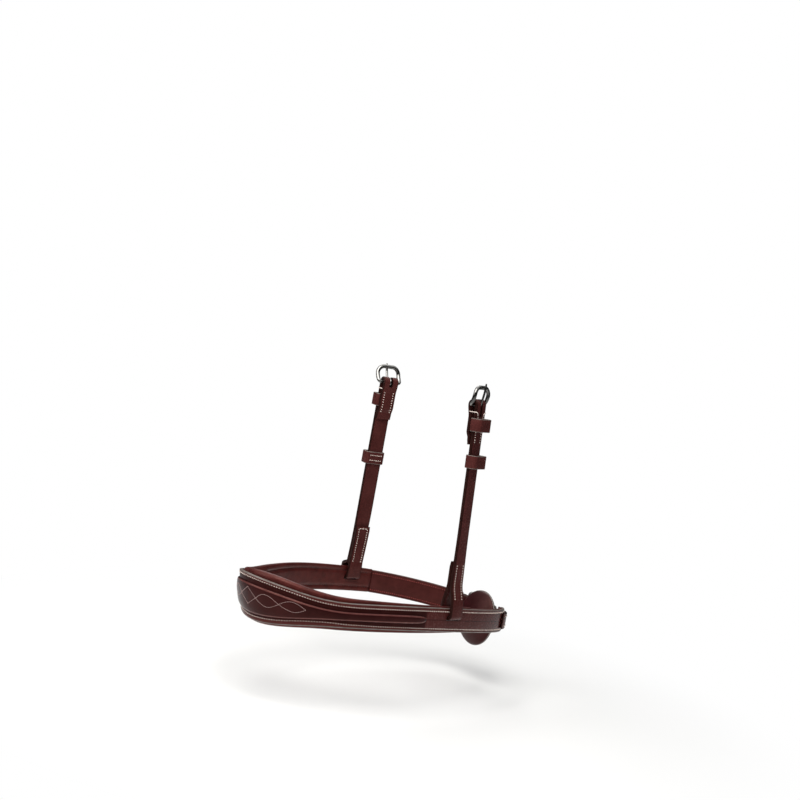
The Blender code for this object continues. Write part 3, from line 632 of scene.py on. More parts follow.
# Fancy stitching on the panel: a diamond at the middle of the nose and two pointed loops
# to each side, in one fine pink thread, a common saddler's pattern
FANCY_PITCH = 0.0014
FANCY_SHARE = 0.86
FANCY_RADIUS = 0.00020
FANCY_STEPS = 8
UPPER_LINE_SHARES = ((0.0, 0.76), (0.0085, 0.18), (0.013, -0.09), (0.0185, -0.24), (0.0235, -0.10),
                     (0.028, 0.19), (0.032, 0.50), (0.0375, 0.72), (0.0435, 0.62), (0.0495, 0.21))
LOWER_LINE_SHARES = ((0.0, -0.39), (0.0085, 0.18), (0.0115, 0.44), (0.0155, 0.62), (0.021, 0.56),
                     (0.028, 0.19), (0.034, -0.08), (0.0405, -0.26), (0.0455, -0.10), (0.0495, 0.21))


def curve_through(places):
    """Smooth line through places given as (along, share of the panel's half height)."""
    run = [places[0], *places, places[-1]]
    line = []
    for four in zip(run, run[1:], run[2:], run[3:]):
        for t in [i / FANCY_STEPS for i in range(FANCY_STEPS)]:
            line.append([0.5 * (2 * b + (c - a) * t + (2 * a - 5 * b + 4 * c - d) * t * t
                                + (3 * b - a - 3 * c + d) * t ** 3) for a, b, c, d in zip(*four)])
    return line + [places[-1]]


def on_panel(along, share):
    """Point and normal on the panel's face, from a share of its half height."""
    middle, half, raised = panel_shape(along)
    out, up = LEATHER_THICK + panel_stand((share + 1) / 2, raised), middle + half * share
    point = place(along, out, up)
    return point, (place(along, out + LEATHER_THICK, up) - point).normalized()


fine_thread = thread("fine_dusty_pink_thread", "#8f7370", "#b89c96")
fancy = []
for side in (-1, 1):
    for places in (UPPER_LINE_SHARES, LOWER_LINE_SHARES):
        line = [on_panel(side * along, share) for along, share in curve_through(places)]
        fancy += seam(line, FANCY_PITCH, 0.0, FANCY_SHARE)
sew("nosepiece_fancy_stitching", fancy, FANCY_RADIUS, fine_thread)

# Bolster. Pressed felt that fills the raised panel, shut in between leather and padding
felt, tree, wool, spot = surface("pressed_wool_felt")
wool.inputs["Roughness"].default_value = 0.95
finish(tree, wool, "#6d5f52", "#8d7d6c", cloud(tree, spot, 0.8, 4.0))
frame["nodes"]["nosepiece_bolster"].data.materials.clear()
frame["nodes"]["nosepiece_bolster"].data.materials.append(felt)


# Padding. Foam under soft red-brown lining leather, sewn to the band along two seams; above
# the upper one it makes a round roll that stands over the band's edge
PADDING_NOSE = 0.0085
PADDING_SIDE = 0.0030
PADDING_TAPER = 0.150
PADDING_REACH = 0.2227
PADDING_CROWN = 0.18
PADDING_FALL = 0.0034
PADDING_FALL_POWER = 4
PADDING_STEP = 0.0018
PADDING_END_TAPER = 0.0030
PADDING_END_SHARE = 0.55
FOOT_SHARE = 0.42
FOOT_MOST = 0.0022
ROLL_NOSE = 0.0049
ROLL_TAPER = 0.190
ROLL_DIP = 0.0036
ROLL_DIP_MIDDLE = -0.030
ROLL_DIP_REACH = 0.060
ROLL_HEIGHT_NOSE = 0.0078
ROLL_HEIGHT_SIDE = 0.0042
LOWER_SEAM = 0.0046
SEAM_PULL_SHARE = 0.30
PULLED_WIDTH = 0.0011
PUCKER_PITCH = 0.0030
PUCKER_DEPTH = 0.00012
WRINKLE_MM = 7.0
WRINKLE_DEPTH = 0.00022
BACK_STEPS = 8
FACE_STEPS = 22
ROLL_STEPS = 10
LINING_PITCH = 0.0030
LINING_STITCH = 0.000387

lining_leather = leather("soft_red_brown_lining_leather", "#3b1413", "#51201d", 9, 0.75, 0.16, 0.36, 0.55)


def padding_thick(along):
    """Thickness of the padding at its middle."""
    return blend(PADDING_SIDE, PADDING_NOSE, fade(along, PADDING_TAPER))


def padding_span(along):
    """Heights of the padding's foot and of its roll's top."""
    foot = band_bottom(along) - PADDING_FALL * (1 - abs(along / PADDING_REACH) ** PADDING_FALL_POWER)
    roll = blend(ROLL_SIDE, ROLL_NOSE, fade(along, ROLL_TAPER))
    return foot, band_top(along) + roll - ROLL_DIP * fade(along - ROLL_DIP_MIDDLE, ROLL_DIP_REACH)


def upper_seam(along):
    """Height of the seam under the roll."""
    return padding_span(along)[1] - blend(ROLL_HEIGHT_SIDE, ROLL_HEIGHT_NOSE, fade(along, ROLL_TAPER))


def lower_seam(along):
    """Height of the seam over the padding's foot."""
    return padding_span(along)[0] + LOWER_SEAM


def padding_depth(along, up):
    """How deep the padding is behind the band at a height, with its seams drawn in."""
    thick, (foot, top) = padding_thick(along), padding_span(along)
    crown = 1 - PADDING_CROWN * abs(2 * (up - foot) / (top - foot) - 1) ** 3
    drawn = max(exp(-((up - height(along)) / PULLED_WIDTH) ** 2) for height in (upper_seam, lower_seam))
    pucker = PUCKER_DEPTH * cos(2 * pi * along / PUCKER_PITCH) * drawn ** 0.5
    folds = noise.noise(place(along, 0, up) * (1000 / WRINKLE_MM))
    wrinkle = WRINKLE_DEPTH * folds * (1 - drawn) * thick / PADDING_NOSE
    return thick * crown * (1 - SEAM_PULL_SHARE * drawn) + pucker + wrinkle


def padding_ring(along):
    """Section of the padding, down its back, round its foot, up its face and over its roll."""
    thick, (foot, top) = padding_thick(along), padding_span(along)
    ending = min((PADDING_REACH - abs(along)) / PADDING_END_TAPER, 1.0)
    ending = blend(PADDING_END_SHARE, 1, sin(RIGHT * ending))
    low, high = foot + min(thick * FOOT_SHARE, FOOT_MOST), top - thick / 2
    deep_low, deep_high = padding_depth(along, low), padding_depth(along, high)
    turns = [pi * i / ROLL_STEPS for i in range(1, ROLL_STEPS)]
    face = [blend(low, high, i / FACE_STEPS) for i in range(FACE_STEPS + 1)]
    soft = [(deep_low * (1 - cos(turn)) / 2, low - (low - foot) * sin(turn)) for turn in turns]
    soft += [(padding_depth(along, up), up) for up in face]
    soft += [(deep_high * (1 + cos(turn)) / 2, high + thick / 2 * sin(turn)) for turn in turns]
    back = [place(along, -GAP, blend(high, low, i / BACK_STEPS)) for i in range(BACK_STEPS + 1)]
    return back + [place(along, (-GAP - deep) * ending, up) for deep, up in soft]


padding_rings = [padding_ring(a) for a in stations(-PADDING_REACH, PADDING_REACH, PADDING_STEP)]
padding = put("nosepiece_padded_lining", slotted(loft("nosepiece_padding", padding_rings)), [lining_leather],
              "nosepiece_padding")

dark_thread = thread("waxed_dark_brown_thread", "#220b0a", "#35120f")
padding_rows = []
for height in (upper_seam, lower_seam):
    row = band_line(LOWER_SEAM - PADDING_REACH, PADDING_REACH - LOWER_SEAM,
                    lambda a: -GAP - padding_depth(a, height(a)), height, True)
    padding_rows += seam(row, LINING_PITCH, 0.0)
sew("padding_seam_stitching", padding_rows, LINING_STITCH, dark_thread)


# Flat linings. From the padding's ends back the band is lined with plain thin leather,
# sewn along both edges with red thread
LINING_THICK = 0.0020
LINING_EDGE = 0.0005
LINING_SEAM = 0.0026
LINING_MARKS = (0.0013, 0.0026, 0.0039)
lining_back = -GAP - LINING_THICK

flat_leather = leather("flat_brown_lining_leather", "#401c1a", "#512624", 12, 0.6, 0.06, 0.40, 0.25)
red_thread = thread("waxed_red_thread", "#7e2622", "#a8443c")


def lining_ring(along):
    """Section of a flat lining, with grooves in its back for the stitch rows."""
    top, bottom = band_top(along), band_bottom(along)
    rows = [(lining_back - dent(mark, LINING_SEAM, SEAM_WIDTH, SEAM_DEPTH), mark) for mark in LINING_MARKS]
    face = [(out, top - mark) for out, mark in rows] + [(out, bottom + mark) for out, mark in rows[::-1]]
    turns = rounded((lining_back, bottom), (-GAP, top), LINING_EDGE)
    return [place(along, out, up) for out, up in turns[0] + turns[1] + face + turns[2] + turns[3]]


lining_rows = []
for side_name, side in SIDES.items():
    start = side * (PADDING_REACH + GAP)
    rings = [lining_ring(a) for a in stations(start, side * band_end, BAND_STEP)]
    put(side_name + "_flat_lining_leather", loft(side_name + "_flat_lining", rings), [flat_leather],
        side_name + "_flat_lining")
    for height in (lambda a: band_top(a) - LINING_SEAM, lambda a: band_bottom(a) + LINING_SEAM):
        row = band_line(start, side * seam_end, lambda a: lining_back + SEAM_DEPTH / 2, height, True)
        lining_rows += seam(row, STITCH_PITCH)
sew("flat_lining_stitching", lining_rows, STITCH_RADIUS, red_thread)


# Cheekpiece straps. Each is one 15 mm strap of the same bridle leather, looped through the
# band's slot below and folded round the buckle's heel bar above. It is made straight, and
# then leans and twists above its loop, as the headpiece pulls it
CHEEK_LENGTH = 0.1947
STRAP_WIDTH = 0.015
STRAP_THICK = 0.0030
STRAP_EDGE = 0.0009
STRAP_CREASE = 0.0013
STRAP_FACE_POINTS = 9
STRAP_STEP = 0.0020
STRAP_INSETS = {"near": 0.0039, "off": 0.0070}
BEND_START = 0.012
BEND_END = 0.070
BEND_OUTWARD = radians(1.5)
BEND_REARWARD = radians(-2.2)
STRAP_TWIST = radians(8.0)
BEND_PARTS = 8
BEND_STEPS = 12
EDGE_MOST_SHARE = 0.45
SKIVE_LENGTH = 0.0040
SKIVED_SHARE = 0.45
LOOP_PLAY = 0.0009
LOOP_BEND = 0.0022
LOOP_RISE = 0.0014
LOOP_CLOSINGS = {"near": 0.0200, "off": 0.0045}
LOOP_LAP = 0.0400
FOLD_LAP = 0.040
KEEPER_THICK = 0.0015
KEEPER_LENGTH = 0.0115
KEEPER_SIDE_PLAY = 0.0005
KEEPER_CORNER = 0.0016
BILLET_ROOM = 0.0056
FIXED_KEEPER_DROP = 0.0165
KEEPER_TO_LAP = 0.0065
RUNNING_KEEPER_DROPS = {"near": 0.0488, "off": 0.0718}
WIRE_RADIUS = 0.0016
TONGUE_RADIUS = 0.0011
TONGUE_SLOT_PLAY = 0.0005
TONGUE_SLOT_DROP = 0.0100
BACK_SLOT_DROP = 0.0042
ROW_PITCH = 0.0022
LAP_ROW_AT = 0.0045
LAP_ROW_MARGIN = 0.0014
LAP_ROW_FOOT = 0.0050
CROSS_ROW_PITCH = 0.0030
CROSS_ROW_SHARE = 0.8
FOLD_ROW_AT = 0.0044
FOLD_ROW_TOP = 0.0130
STRAP_STITCH = 0.00048
LOCK_STITCH = 0.00050
WHIP_DROP = 0.0112
WHIP_SLOPE = 0.0016
WHIP_RADIUS = 0.00048
WHIP_LIFT = WHIP_RADIUS / 2
WHIP_SINK = 0.0008
WHIP_TURN = 0.0007
WHIP_EDGE = 0.0004
WHIP_ENTRY = 0.0006
CORD_SIDES = 10

strap_half = (LEATHER_THICK + GAP + PADDING_SIDE) / 2
leaf_x = strap_half + LOOP_PLAY + STRAP_THICK / 2
lap_step = STRAP_THICK + GAP
loop_bottom = slot_low + SLOT_HEIGHT / 2
band_top_z = SIDE_HEIGHT / 2 + ROLL_SIDE - band_pivot_up
loop_top = band_top_z + LOOP_RISE
fold_radius = WIRE_RADIUS + GAP + STRAP_THICK / 2
bar_x = -fold_radius
fold_top = loop_bottom - STRAP_THICK / 2 + CHEEK_LENGTH
bar_z = fold_top - WIRE_RADIUS - GAP - STRAP_THICK
keeper_lap_x = -STRAP_THICK - KEEPER_THICK - 2 * GAP
across_strap = Vector((0, 1, 0))
tongue_half = TONGUE_RADIUS + TONGUE_SLOT_PLAY


def eased(start, end, count):
    """Points from start to end that leave and arrive along the second axis."""
    shares = [i / count for i in range(1, count + 1)]
    return [(blend(start[0], end[0], smooth(share)), blend(start[1], end[1], share)) for share in shares]


def rise(x, start, end, step=STRAP_STEP):
    """Points of a straight stretch of strap, without its first."""
    return [(x, z) for z in stations(start, end, step)[1:]]


def cheek_path(side_name):
    """Strap's middle line before it bends: lower lap, loop through the slot, strap and fold."""
    outer_x = STRAP_INSETS[side_name]
    inner_x = outer_x - 2 * leaf_x
    bend_z = loop_bottom + LOOP_BEND
    closed = loop_top + LOOP_CLOSINGS[side_name]
    keeper_start = fold_top - FIXED_KEEPER_DROP
    keeper_end = keeper_start - KEEPER_LENGTH
    path = [(-lap_step, band_top_z + LOOP_LAP)] + rise(-lap_step, band_top_z + LOOP_LAP, closed)
    path += eased(path[-1], (inner_x, loop_top), BEND_STEPS)
    path += arc((inner_x + LOOP_BEND, bend_z), LOOP_BEND, 2 * RIGHT, 3 * RIGHT, BEND_STEPS // 2)
    path += arc((outer_x - LOOP_BEND, bend_z), LOOP_BEND, 3 * RIGHT, 4 * RIGHT, BEND_STEPS // 2)
    path += [(outer_x, loop_top)] + eased((outer_x, loop_top), (0.0, closed), BEND_STEPS)
    path += rise(0.0, closed, BEND_END) + rise(0.0, BEND_END, bar_z, STRAP_STEP * 2)[:-1]
    path += arc((bar_x, bar_z), fold_radius, 0, 2 * RIGHT, 2 * BEND_STEPS)
    path += eased(path[-1], (keeper_lap_x, keeper_start + GAP), BEND_STEPS)
    path += rise(keeper_lap_x, keeper_start + GAP, keeper_end - GAP)
    path += eased(path[-1], (-lap_step, keeper_end - KEEPER_TO_LAP), BEND_STEPS)
    path += rise(-lap_step, keeper_end - KEEPER_TO_LAP, fold_top - FOLD_LAP)
    return [Vector((x, 0, z)) for x, z in path]


def bend_share(height):
    """How far the bend has gone at a height on the strap."""
    return min(max((height - BEND_START) / (BEND_END - BEND_START), 0.0), 1.0)


def strap_turn(side, share):
    """Turn of a cheekpiece's strap at a share of its bend."""
    turn = Vector((-side * BEND_REARWARD, BEND_OUTWARD, side * STRAP_TWIST))
    return Quaternion(turn.normalized(), turn.length * smooth(share))


def bent(side, point):
    """Place of a straight strap's point once the strap leans and twists above its loop."""
    share = bend_share(point.z)
    middle = Vector((0, 0, min(point.z, BEND_START)))
    for i in range(BEND_PARTS):
        part = Vector((0, 0, share * (BEND_END - BEND_START) / BEND_PARTS))
        middle += strap_turn(side, share * (2 * i + 1) / (2 * BEND_PARTS)) @ part
    middle += strap_turn(side, 1.0) @ Vector((0, 0, max(point.z - BEND_END, 0.0)))
    return middle + strap_turn(side, share) @ Vector((point.x, point.y, 0))


def loop_matrix(side_name):
    """Frame of a cheekpiece's loop, with the strap's middle line at X 0."""
    return cheek_matrix(side_name) @ Matrix.Translation(Vector((leaf_x - STRAP_INSETS[side_name], 0, 0)))


def strap_matrix(side_name):
    """Frame of a cheekpiece's upper, straight part, with heights as on the unbent strap."""
    turned = strap_turn(SIDES[side_name], 1.0).to_matrix()
    bend_top = Vector((0, 0, BEND_END))
    origin = bent(SIDES[side_name], bend_top) - turned @ bend_top
    return loop_matrix(side_name) @ Matrix.Translation(origin) @ turned.to_4x4()


def strap_section(half, thick, edge):
    """Section of a strap as (across, level): creased outer face, edge, back, edge."""
    crease = half - min(STRAP_CREASE, half / 3)
    marks = (crease + CREASE_WIDTH, crease, crease - CREASE_WIDTH, half / 2, 0.0)
    face = [(a, thick / 2 + dent(a, crease, CREASE_WIDTH, CREASE_DEPTH)) for a in marks]
    face += [(-a, level) for a, level in face[-2::-1]]
    turns = rounded((-half, -thick / 2), (half, thick / 2), edge)
    return turns[0] + face + turns[1] + turns[2] + turns[3]


def strap_strip(i):
    """0 on the faces of a strap, 1 on its slicked edges."""
    on_face = EDGE_STEPS <= i <= EDGE_STEPS + STRAP_FACE_POINTS
    return 0 if on_face or i == 3 * EDGE_STEPS + 2 + STRAP_FACE_POINTS else 1


def heading(points, i):
    """Direction of an open run of points at one of them."""
    return (points[min(i + 1, len(points) - 1)] - points[max(i - 1, 0)]).normalized()


def strap_frames(path, across, thick, skived):
    """Each point of a path with its face direction and thickness, pared thin at skived ends."""
    frames = []
    reached = run_lengths(path)
    for i, (point, length) in enumerate(zip(path, reached)):
        left = {"first": length, "last": reached[-1] - length}
        share = min([left[end] / SKIVE_LENGTH for end in skived] + [1.0])
        level = thick * blend(SKIVED_SHARE, 1, share)
        frames.append((point, heading(path, i).cross(across).normalized(), level))
    return frames


def strap_mesh(name, path, across, thick, edge, skived, widths=None):
    """Strap along a path; skived lists the ends, first or last, that are pared thin."""
    rings = []
    for i, (point, face, level) in enumerate(strap_frames(path, across, thick, skived)):
        half = (widths[i] if widths else STRAP_WIDTH) / 2
        section = strap_section(half, level, min(edge, level * EDGE_MOST_SHARE, half * EDGE_MOST_SHARE))
        rings.append([point + across * a + face * up for a, up in section])
    return loft(name, rings, strap_strip)


def cheek_mesh(side_name):
    """A cheekpiece's strap, its slots cut for the tongue, bent and put in its place."""
    shape = strap_mesh("cheek_strap", cheek_path(side_name), across_strap, STRAP_THICK, STRAP_EDGE,
                       ("first", "last"))
    above = fold_top + STRAP_THICK
    for low_x, high_x, drop in ((bar_x, STRAP_THICK, TONGUE_SLOT_DROP),
                                (bar_x - fold_radius - STRAP_THICK, bar_x + GAP, BACK_SLOT_DROP)):
        shape = cut_box(shape, (low_x, -tongue_half, bar_z - drop), (high_x, tongue_half, above))
    matrix = loop_matrix(side_name)
    for vertex in shape.vertices:
        vertex.co = matrix @ bent(SIDES[side_name], vertex.co)
    return shape


def cheek_rows(side_name):
    """Stitches of a straight cheekpiece: fine ones and the thick first and last."""
    frames = strap_frames(cheek_path(side_name), across_strap, STRAP_THICK, ("first", "last"))
    lower, upper = frames[:len(frames) // 2], frames[len(frames) // 2:]
    lap_top, lap_foot = band_top_z + LOOP_LAP - LAP_ROW_MARGIN, band_top_z + LAP_ROW_FOOT
    fold_high, fold_low = fold_top - FOLD_ROW_TOP, fold_top - FOLD_LAP + LAP_ROW_MARGIN
    lap_end = [f for f in lower if f[0].x < -lap_step / 2 and lap_foot < f[0].z < lap_top]
    facing = [f for f in frames if f not in lap_end and lap_foot < f[0].z < lap_top]
    back = [f for f in upper if fold_low < f[0].z < fold_high and f[0].x < bar_x]
    front = [(Vector((0, 0, z)), Vector((1, 0, 0)), STRAP_THICK)
             for z in stations(fold_high, fold_low, STRAP_STEP)]
    fine = []
    strong = []
    for run, direction in ((lap_end, -1), (facing, 1), (back, -1), (front, 1)):
        side = 1 if run[0][1].x * direction > 0 else -1
        for shift in (-LAP_ROW_AT, LAP_ROW_AT):
            row = seam([(point + across_strap * shift + face * side * (level - CREASE_DEPTH) / 2, face * side)
                        for point, face, level in run], ROW_PITCH)
            strong += [row[0], row[-1]]
            fine += row[1:-1]
    point, face, level = lap_end[0]
    away = face if face.x < 0 else -face
    cross = [(point + across_strap * y + away * level / 2, away)
             for y in stations(-LAP_ROW_AT, LAP_ROW_AT, STRAP_STEP)]
    return fine, strong + seam(cross, CROSS_ROW_PITCH, 0.0, CROSS_ROW_SHARE)


def bent_along(stitches, side):
    """Stitches of a straight strap carried to their places on the bent one."""
    return [(bent(side, start), bent(side, end), strap_turn(side, bend_share(start.z)) @ normal)
            for start, end, normal in stitches]


def moved(stitches, matrix):
    """Stitches carried from a piece's own frame into the world."""
    turn = matrix.to_3x3()
    return [(matrix @ start, matrix @ end, turn @ normal) for start, end, normal in stitches]


def tube(name, points, radius):
    """Round cord through points, its ends filled."""
    rings = []
    side = heading(points, 0).orthogonal()
    for i, point in enumerate(points):
        ahead = heading(points, i)
        side = (side - ahead * side.dot(ahead)).normalized()
        rings.append(hoop(point, side * radius, ahead.cross(side) * radius, CORD_SIDES))
    return loft(name, rings)


def whip_points(side):
    """Thread that wraps over one edge of the fold and holds its layers together."""
    front, back = STRAP_THICK / 2, keeper_lap_x - STRAP_THICK / 2 + WHIP_SINK
    edge, inner = side * STRAP_WIDTH / 2, side * FOLD_ROW_AT
    over, corner, half_way = edge + side * WHIP_LIFT, edge - side * WHIP_EDGE, (inner + edge) / 2
    line = ((front - WHIP_RADIUS, inner, 1.0), (front + WHIP_LIFT, inner + side * WHIP_ENTRY, 1.0),
            (front + WHIP_LIFT, half_way, 0.5), (front + WHIP_LIFT / 2, corner, 0.0),
            (front - WHIP_TURN, over, 0.0), ((front + back) / 2, over, 0.0), (back + WHIP_TURN, over, 0.0),
            (back - WHIP_LIFT / 2, corner, 0.0), (back - WHIP_LIFT, half_way, 0.5),
            (back - WHIP_LIFT, inner, 1.0))
    return [Vector((x, y, fold_top - WHIP_DROP - WHIP_SLOPE * fall)) for x, y, fall in line]


for side_name, side in SIDES.items():
    body = side_name + "_cheekpiece"
    put(side_name + "_cheekpiece_leather", cheek_mesh(side_name), [bridle_leather, slicked_edge],
        side_name + "_cheek_strap", body)
    fine, strong = cheek_rows(side_name)
    for label, row, radius in (("stitching", fine, STRAP_STITCH), ("lock_stitches", strong, LOCK_STITCH)):
        stitches = moved(bent_along(row, side), loop_matrix(side_name))
        sew(side_name + "_cheekpiece_" + label, stitches, radius, cream_thread, body)
    for edge, label in ((-1, "front"), (1, "rear")):
        whip = tube("whip", [strap_matrix(side_name) @ point for point in whip_points(edge)], WHIP_RADIUS)
        put(side_name + "_whip_stitch_" + label, whip, [cream_thread], None, body)


# Keepers. Narrow leather loops that hold a strap's free end; the fixed ones are sewn in
# under the fold, the running ones are joined with two short rows and slide on the strap
KEEPER_EDGE = 0.0005
KEEPER_ROW_EDGE = 0.0034
KEEPER_ROW_HALF = 0.0064
KEEPER_CORNER_STEPS = 8
keeper_low = (-STRAP_THICK / 2 - GAP, -STRAP_WIDTH / 2 - KEEPER_SIDE_PLAY)
keeper_high = (STRAP_THICK / 2 + BILLET_ROOM, STRAP_WIDTH / 2 + KEEPER_SIDE_PLAY)


def keeper_strip(i):
    """0 on a keeper's faces, 1 on its painted edges."""
    arcs = 2 * (EDGE_STEPS + 1)
    return 1 if 1 <= i < arcs or arcs + 2 <= i < 2 * arcs + 1 else 0


def keeper_mesh(name, low, high, start, length, at):
    """Closed loop round a box between two corners, with at giving each point's place."""
    turns = rounded((start, 0.0), (start + length, KEEPER_THICK), KEEPER_EDGE)
    inside, outside = [(start + length / 2, 0.0)], [(start + length / 2, KEEPER_THICK)]
    lines = []
    for distance, depth in inside + turns[3] + turns[0] + outside + turns[1] + turns[2]:
        box = rounded((low[0] - depth, low[1] - depth), (high[0] + depth, high[1] + depth),
                      KEEPER_CORNER + depth, KEEPER_CORNER_STEPS)
        lines.append([at(distance, x, y) for turn in box for x, y in turn])
    return loft(name, list(zip(*lines)), keeper_strip, closed=True)


def at_strap(distance, outwards, across):
    """Point of a cheekpiece, a distance below the top of its fold."""
    return Vector((outwards, across, fold_top - distance))


for side_name, drop in RUNNING_KEEPER_DROPS.items():
    matrix = strap_matrix(side_name)
    for kind, start, body in (("fixed", FIXED_KEEPER_DROP, "_cheekpiece"), ("running", drop, "_keeper")):
        keeper = keeper_mesh(kind + "_keeper", keeper_low, keeper_high, start, KEEPER_LENGTH, at_strap)
        keeper.transform(matrix)
        put(side_name + "_" + kind + "_keeper_leather", keeper, [bridle_leather, edge_paint],
            side_name + "_" + kind + "_keeper", side_name + body)
    rows = []
    for distance in (drop + KEEPER_ROW_EDGE, drop + KEEPER_LENGTH - KEEPER_ROW_EDGE):
        rows += seam([(at_strap(distance, keeper_low[0] - KEEPER_THICK, y), Vector((-1, 0, 0)))
                      for y in stations(-KEEPER_ROW_HALF, KEEPER_ROW_HALF, STRAP_STEP)], ROW_PITCH)
    sew(side_name + "_running_keeper_stitching", moved(rows, matrix), STRAP_STITCH, cream_thread,
        side_name + "_keeper")


# Buckles. Each frame is bent and welded from stainless wire, thicker at its rounded top
# than at its heel bar, and polished; the tongue is turned round the heel bar
BUCKLE_ARM_RADIUS = 0.0019
BUCKLE_CLEAR = 0.0180
BUCKLE_REACH = 0.0155
BUCKLE_HEEL_BEND = 0.0020
BUCKLE_TOP_BEND = 0.0068
BUCKLE_HEEL_STEPS = 6
BUCKLE_TOP_STEPS = 14
BUCKLE_ARCH = 0.0016
BUCKLE_LEANS = {"near": radians(10), "off": radians(27)}
FRAME_FLAT_SHARE = 0.90
FRAME_SIDES = 20
TONGUE_PAST_BAR = 0.0026
TONGUE_TURN_START = 0.12
TONGUE_TURN_END = radians(-290)
TONGUE_TURN_STEPS = 30
TONGUE_TIP_SHARE = 0.62
TONGUE_TIP_LENGTH = 0.006
TONGUE_TIP_DIP = 0.0004
TONGUE_HEEL = 0.0010
TONGUE_STEP = 0.0012
TONGUE_SHANK_FROM = 0.9
TONGUE_FLAT_SHARE = 0.86
TONGUE_EYE_SHARE = 0.8
TONGUE_BOW = 0.0005
TONGUE_SIDES = 16

# Stainless steel, buffed: a cold grey mirror that picks up the dark leather beside it, with
# hair scratches about 0.1 mm apart, drawn coarser so that they show
steel, tree, skin, spot = surface("buffed_stainless_steel")
skin.inputs["Metallic"].default_value = 1.0
stretched = add_node(tree, "Mapping", {"Scale": (900.0, 900.0, 160.0)}, {"Vector": spot}).outputs[0]
hair = add_node(tree, "TexNoise", {"Scale": 2.2, "Detail": 3.0}, {"Vector": stretched}).outputs["Fac"]
finish(tree, skin, "#737270", "#9c9b98", cloud(tree, spot, 5.0, 2.0), hair, 0.25, 0.00002)
tree.links.new(ramp(tree, hair, 0.3, 0.7, 0.10, 0.24), skin.inputs["Roughness"])


def frame_shape():
    """Frame in its own plane, Y across and Z from the heel bar to the top bar."""
    half = BUCKLE_CLEAR / 2 + BUCKLE_ARM_RADIUS
    heel, top, shoulder = BUCKLE_HEEL_BEND, BUCKLE_TOP_BEND, BUCKLE_REACH - BUCKLE_TOP_BEND
    flat = [(y, 0.0) for y in stations(heel - half, half - heel, STRAP_STEP)[1:-1]]
    flat += arc((half - heel, heel), heel, -RIGHT, 0, BUCKLE_HEEL_STEPS)
    flat += [(half, z) for z in stations(heel, shoulder, STRAP_STEP)[1:-1]]
    flat += arc((half - top, shoulder), top, 0, RIGHT, BUCKLE_TOP_STEPS)
    flat += [(y, BUCKLE_REACH) for y in stations(half - top, top - half, STRAP_STEP)[1:-1]]
    flat += arc((top - half, shoulder), top, RIGHT, 2 * RIGHT, BUCKLE_TOP_STEPS)
    flat += [(-half, z) for z in stations(shoulder, heel, STRAP_STEP)[1:-1]]
    flat += arc((heel - half, heel), heel, 2 * RIGHT, 3 * RIGHT, BUCKLE_HEEL_STEPS)
    rings = []
    for i, (y, z) in enumerate(flat):
        ahead = Vector((0, *flat[(i + 1) % len(flat)])) - Vector((0, *flat[i - 1]))
        aside = ahead.cross(Vector((1, 0, 0))).normalized()
        swell = min(max((z - heel / 2) / heel, 0.0), 1.0)
        radius = blend(WIRE_RADIUS, BUCKLE_ARM_RADIUS, swell)
        level = Vector((radius * blend(1, FRAME_FLAT_SHARE, swell), 0, 0))
        middle = Vector((BUCKLE_ARCH * sin(pi * z / BUCKLE_REACH), y, z))
        rings.append(hoop(middle, level, aside * radius, FRAME_SIDES))
    return loft("buckle_frame", rings, closed=True)


def tongue_shape():
    """Tongue: tip over the top bar, straight shank, eye round the heel bar."""
    eye = WIRE_RADIUS + GAP + TONGUE_RADIUS
    rest = BUCKLE_ARM_RADIUS + GAP + TONGUE_RADIUS
    tip = BUCKLE_REACH + BUCKLE_ARM_RADIUS + TONGUE_PAST_BAR
    line = [(rest + TONGUE_BOW * sin(pi * z / tip) - TONGUE_TIP_DIP * (z / tip) ** 8, z)
            for z in stations(tip, TONGUE_HEEL, TONGUE_STEP)]
    line += arc((0, 0), eye, TONGUE_TURN_START, TONGUE_TURN_END, TONGUE_TURN_STEPS)
    line = [Vector((x, 0, z)) for x, z in line]
    rings = []
    for i, point in enumerate(line):
        radius, flat = TONGUE_RADIUS, TONGUE_EYE_SHARE
        if point.z > 0 and point.x > eye * TONGUE_SHANK_FROM:
            radius *= blend(TONGUE_TIP_SHARE, 1, min((tip - point.z) / TONGUE_TIP_LENGTH, 1.0) ** 0.5)
            flat = TONGUE_FLAT_SHARE
        aside = heading(line, i).cross(across_strap)
        rings.append(hoop(point, across_strap * radius, aside * radius * flat, TONGUE_SIDES))
    return loft("buckle_tongue", rings)


def add_buckle(prefix, matrix):
    """Frame and tongue of a buckle on its heel bar's joint."""
    for kind, shape in (("frame", frame_shape()), ("tongue", tongue_shape())):
        shape.transform(matrix)
        put(prefix + "_steel_buckle_" + kind, shape, [steel], prefix + "_buckle_" + kind, prefix + "_" + kind)


for side_name, lean in BUCKLE_LEANS.items():
    add_buckle(side_name, strap_matrix(side_name) @ Matrix.Translation(Vector((bar_x, 0, bar_z)))
               @ Matrix.Rotation(lean, 4, "Y"))


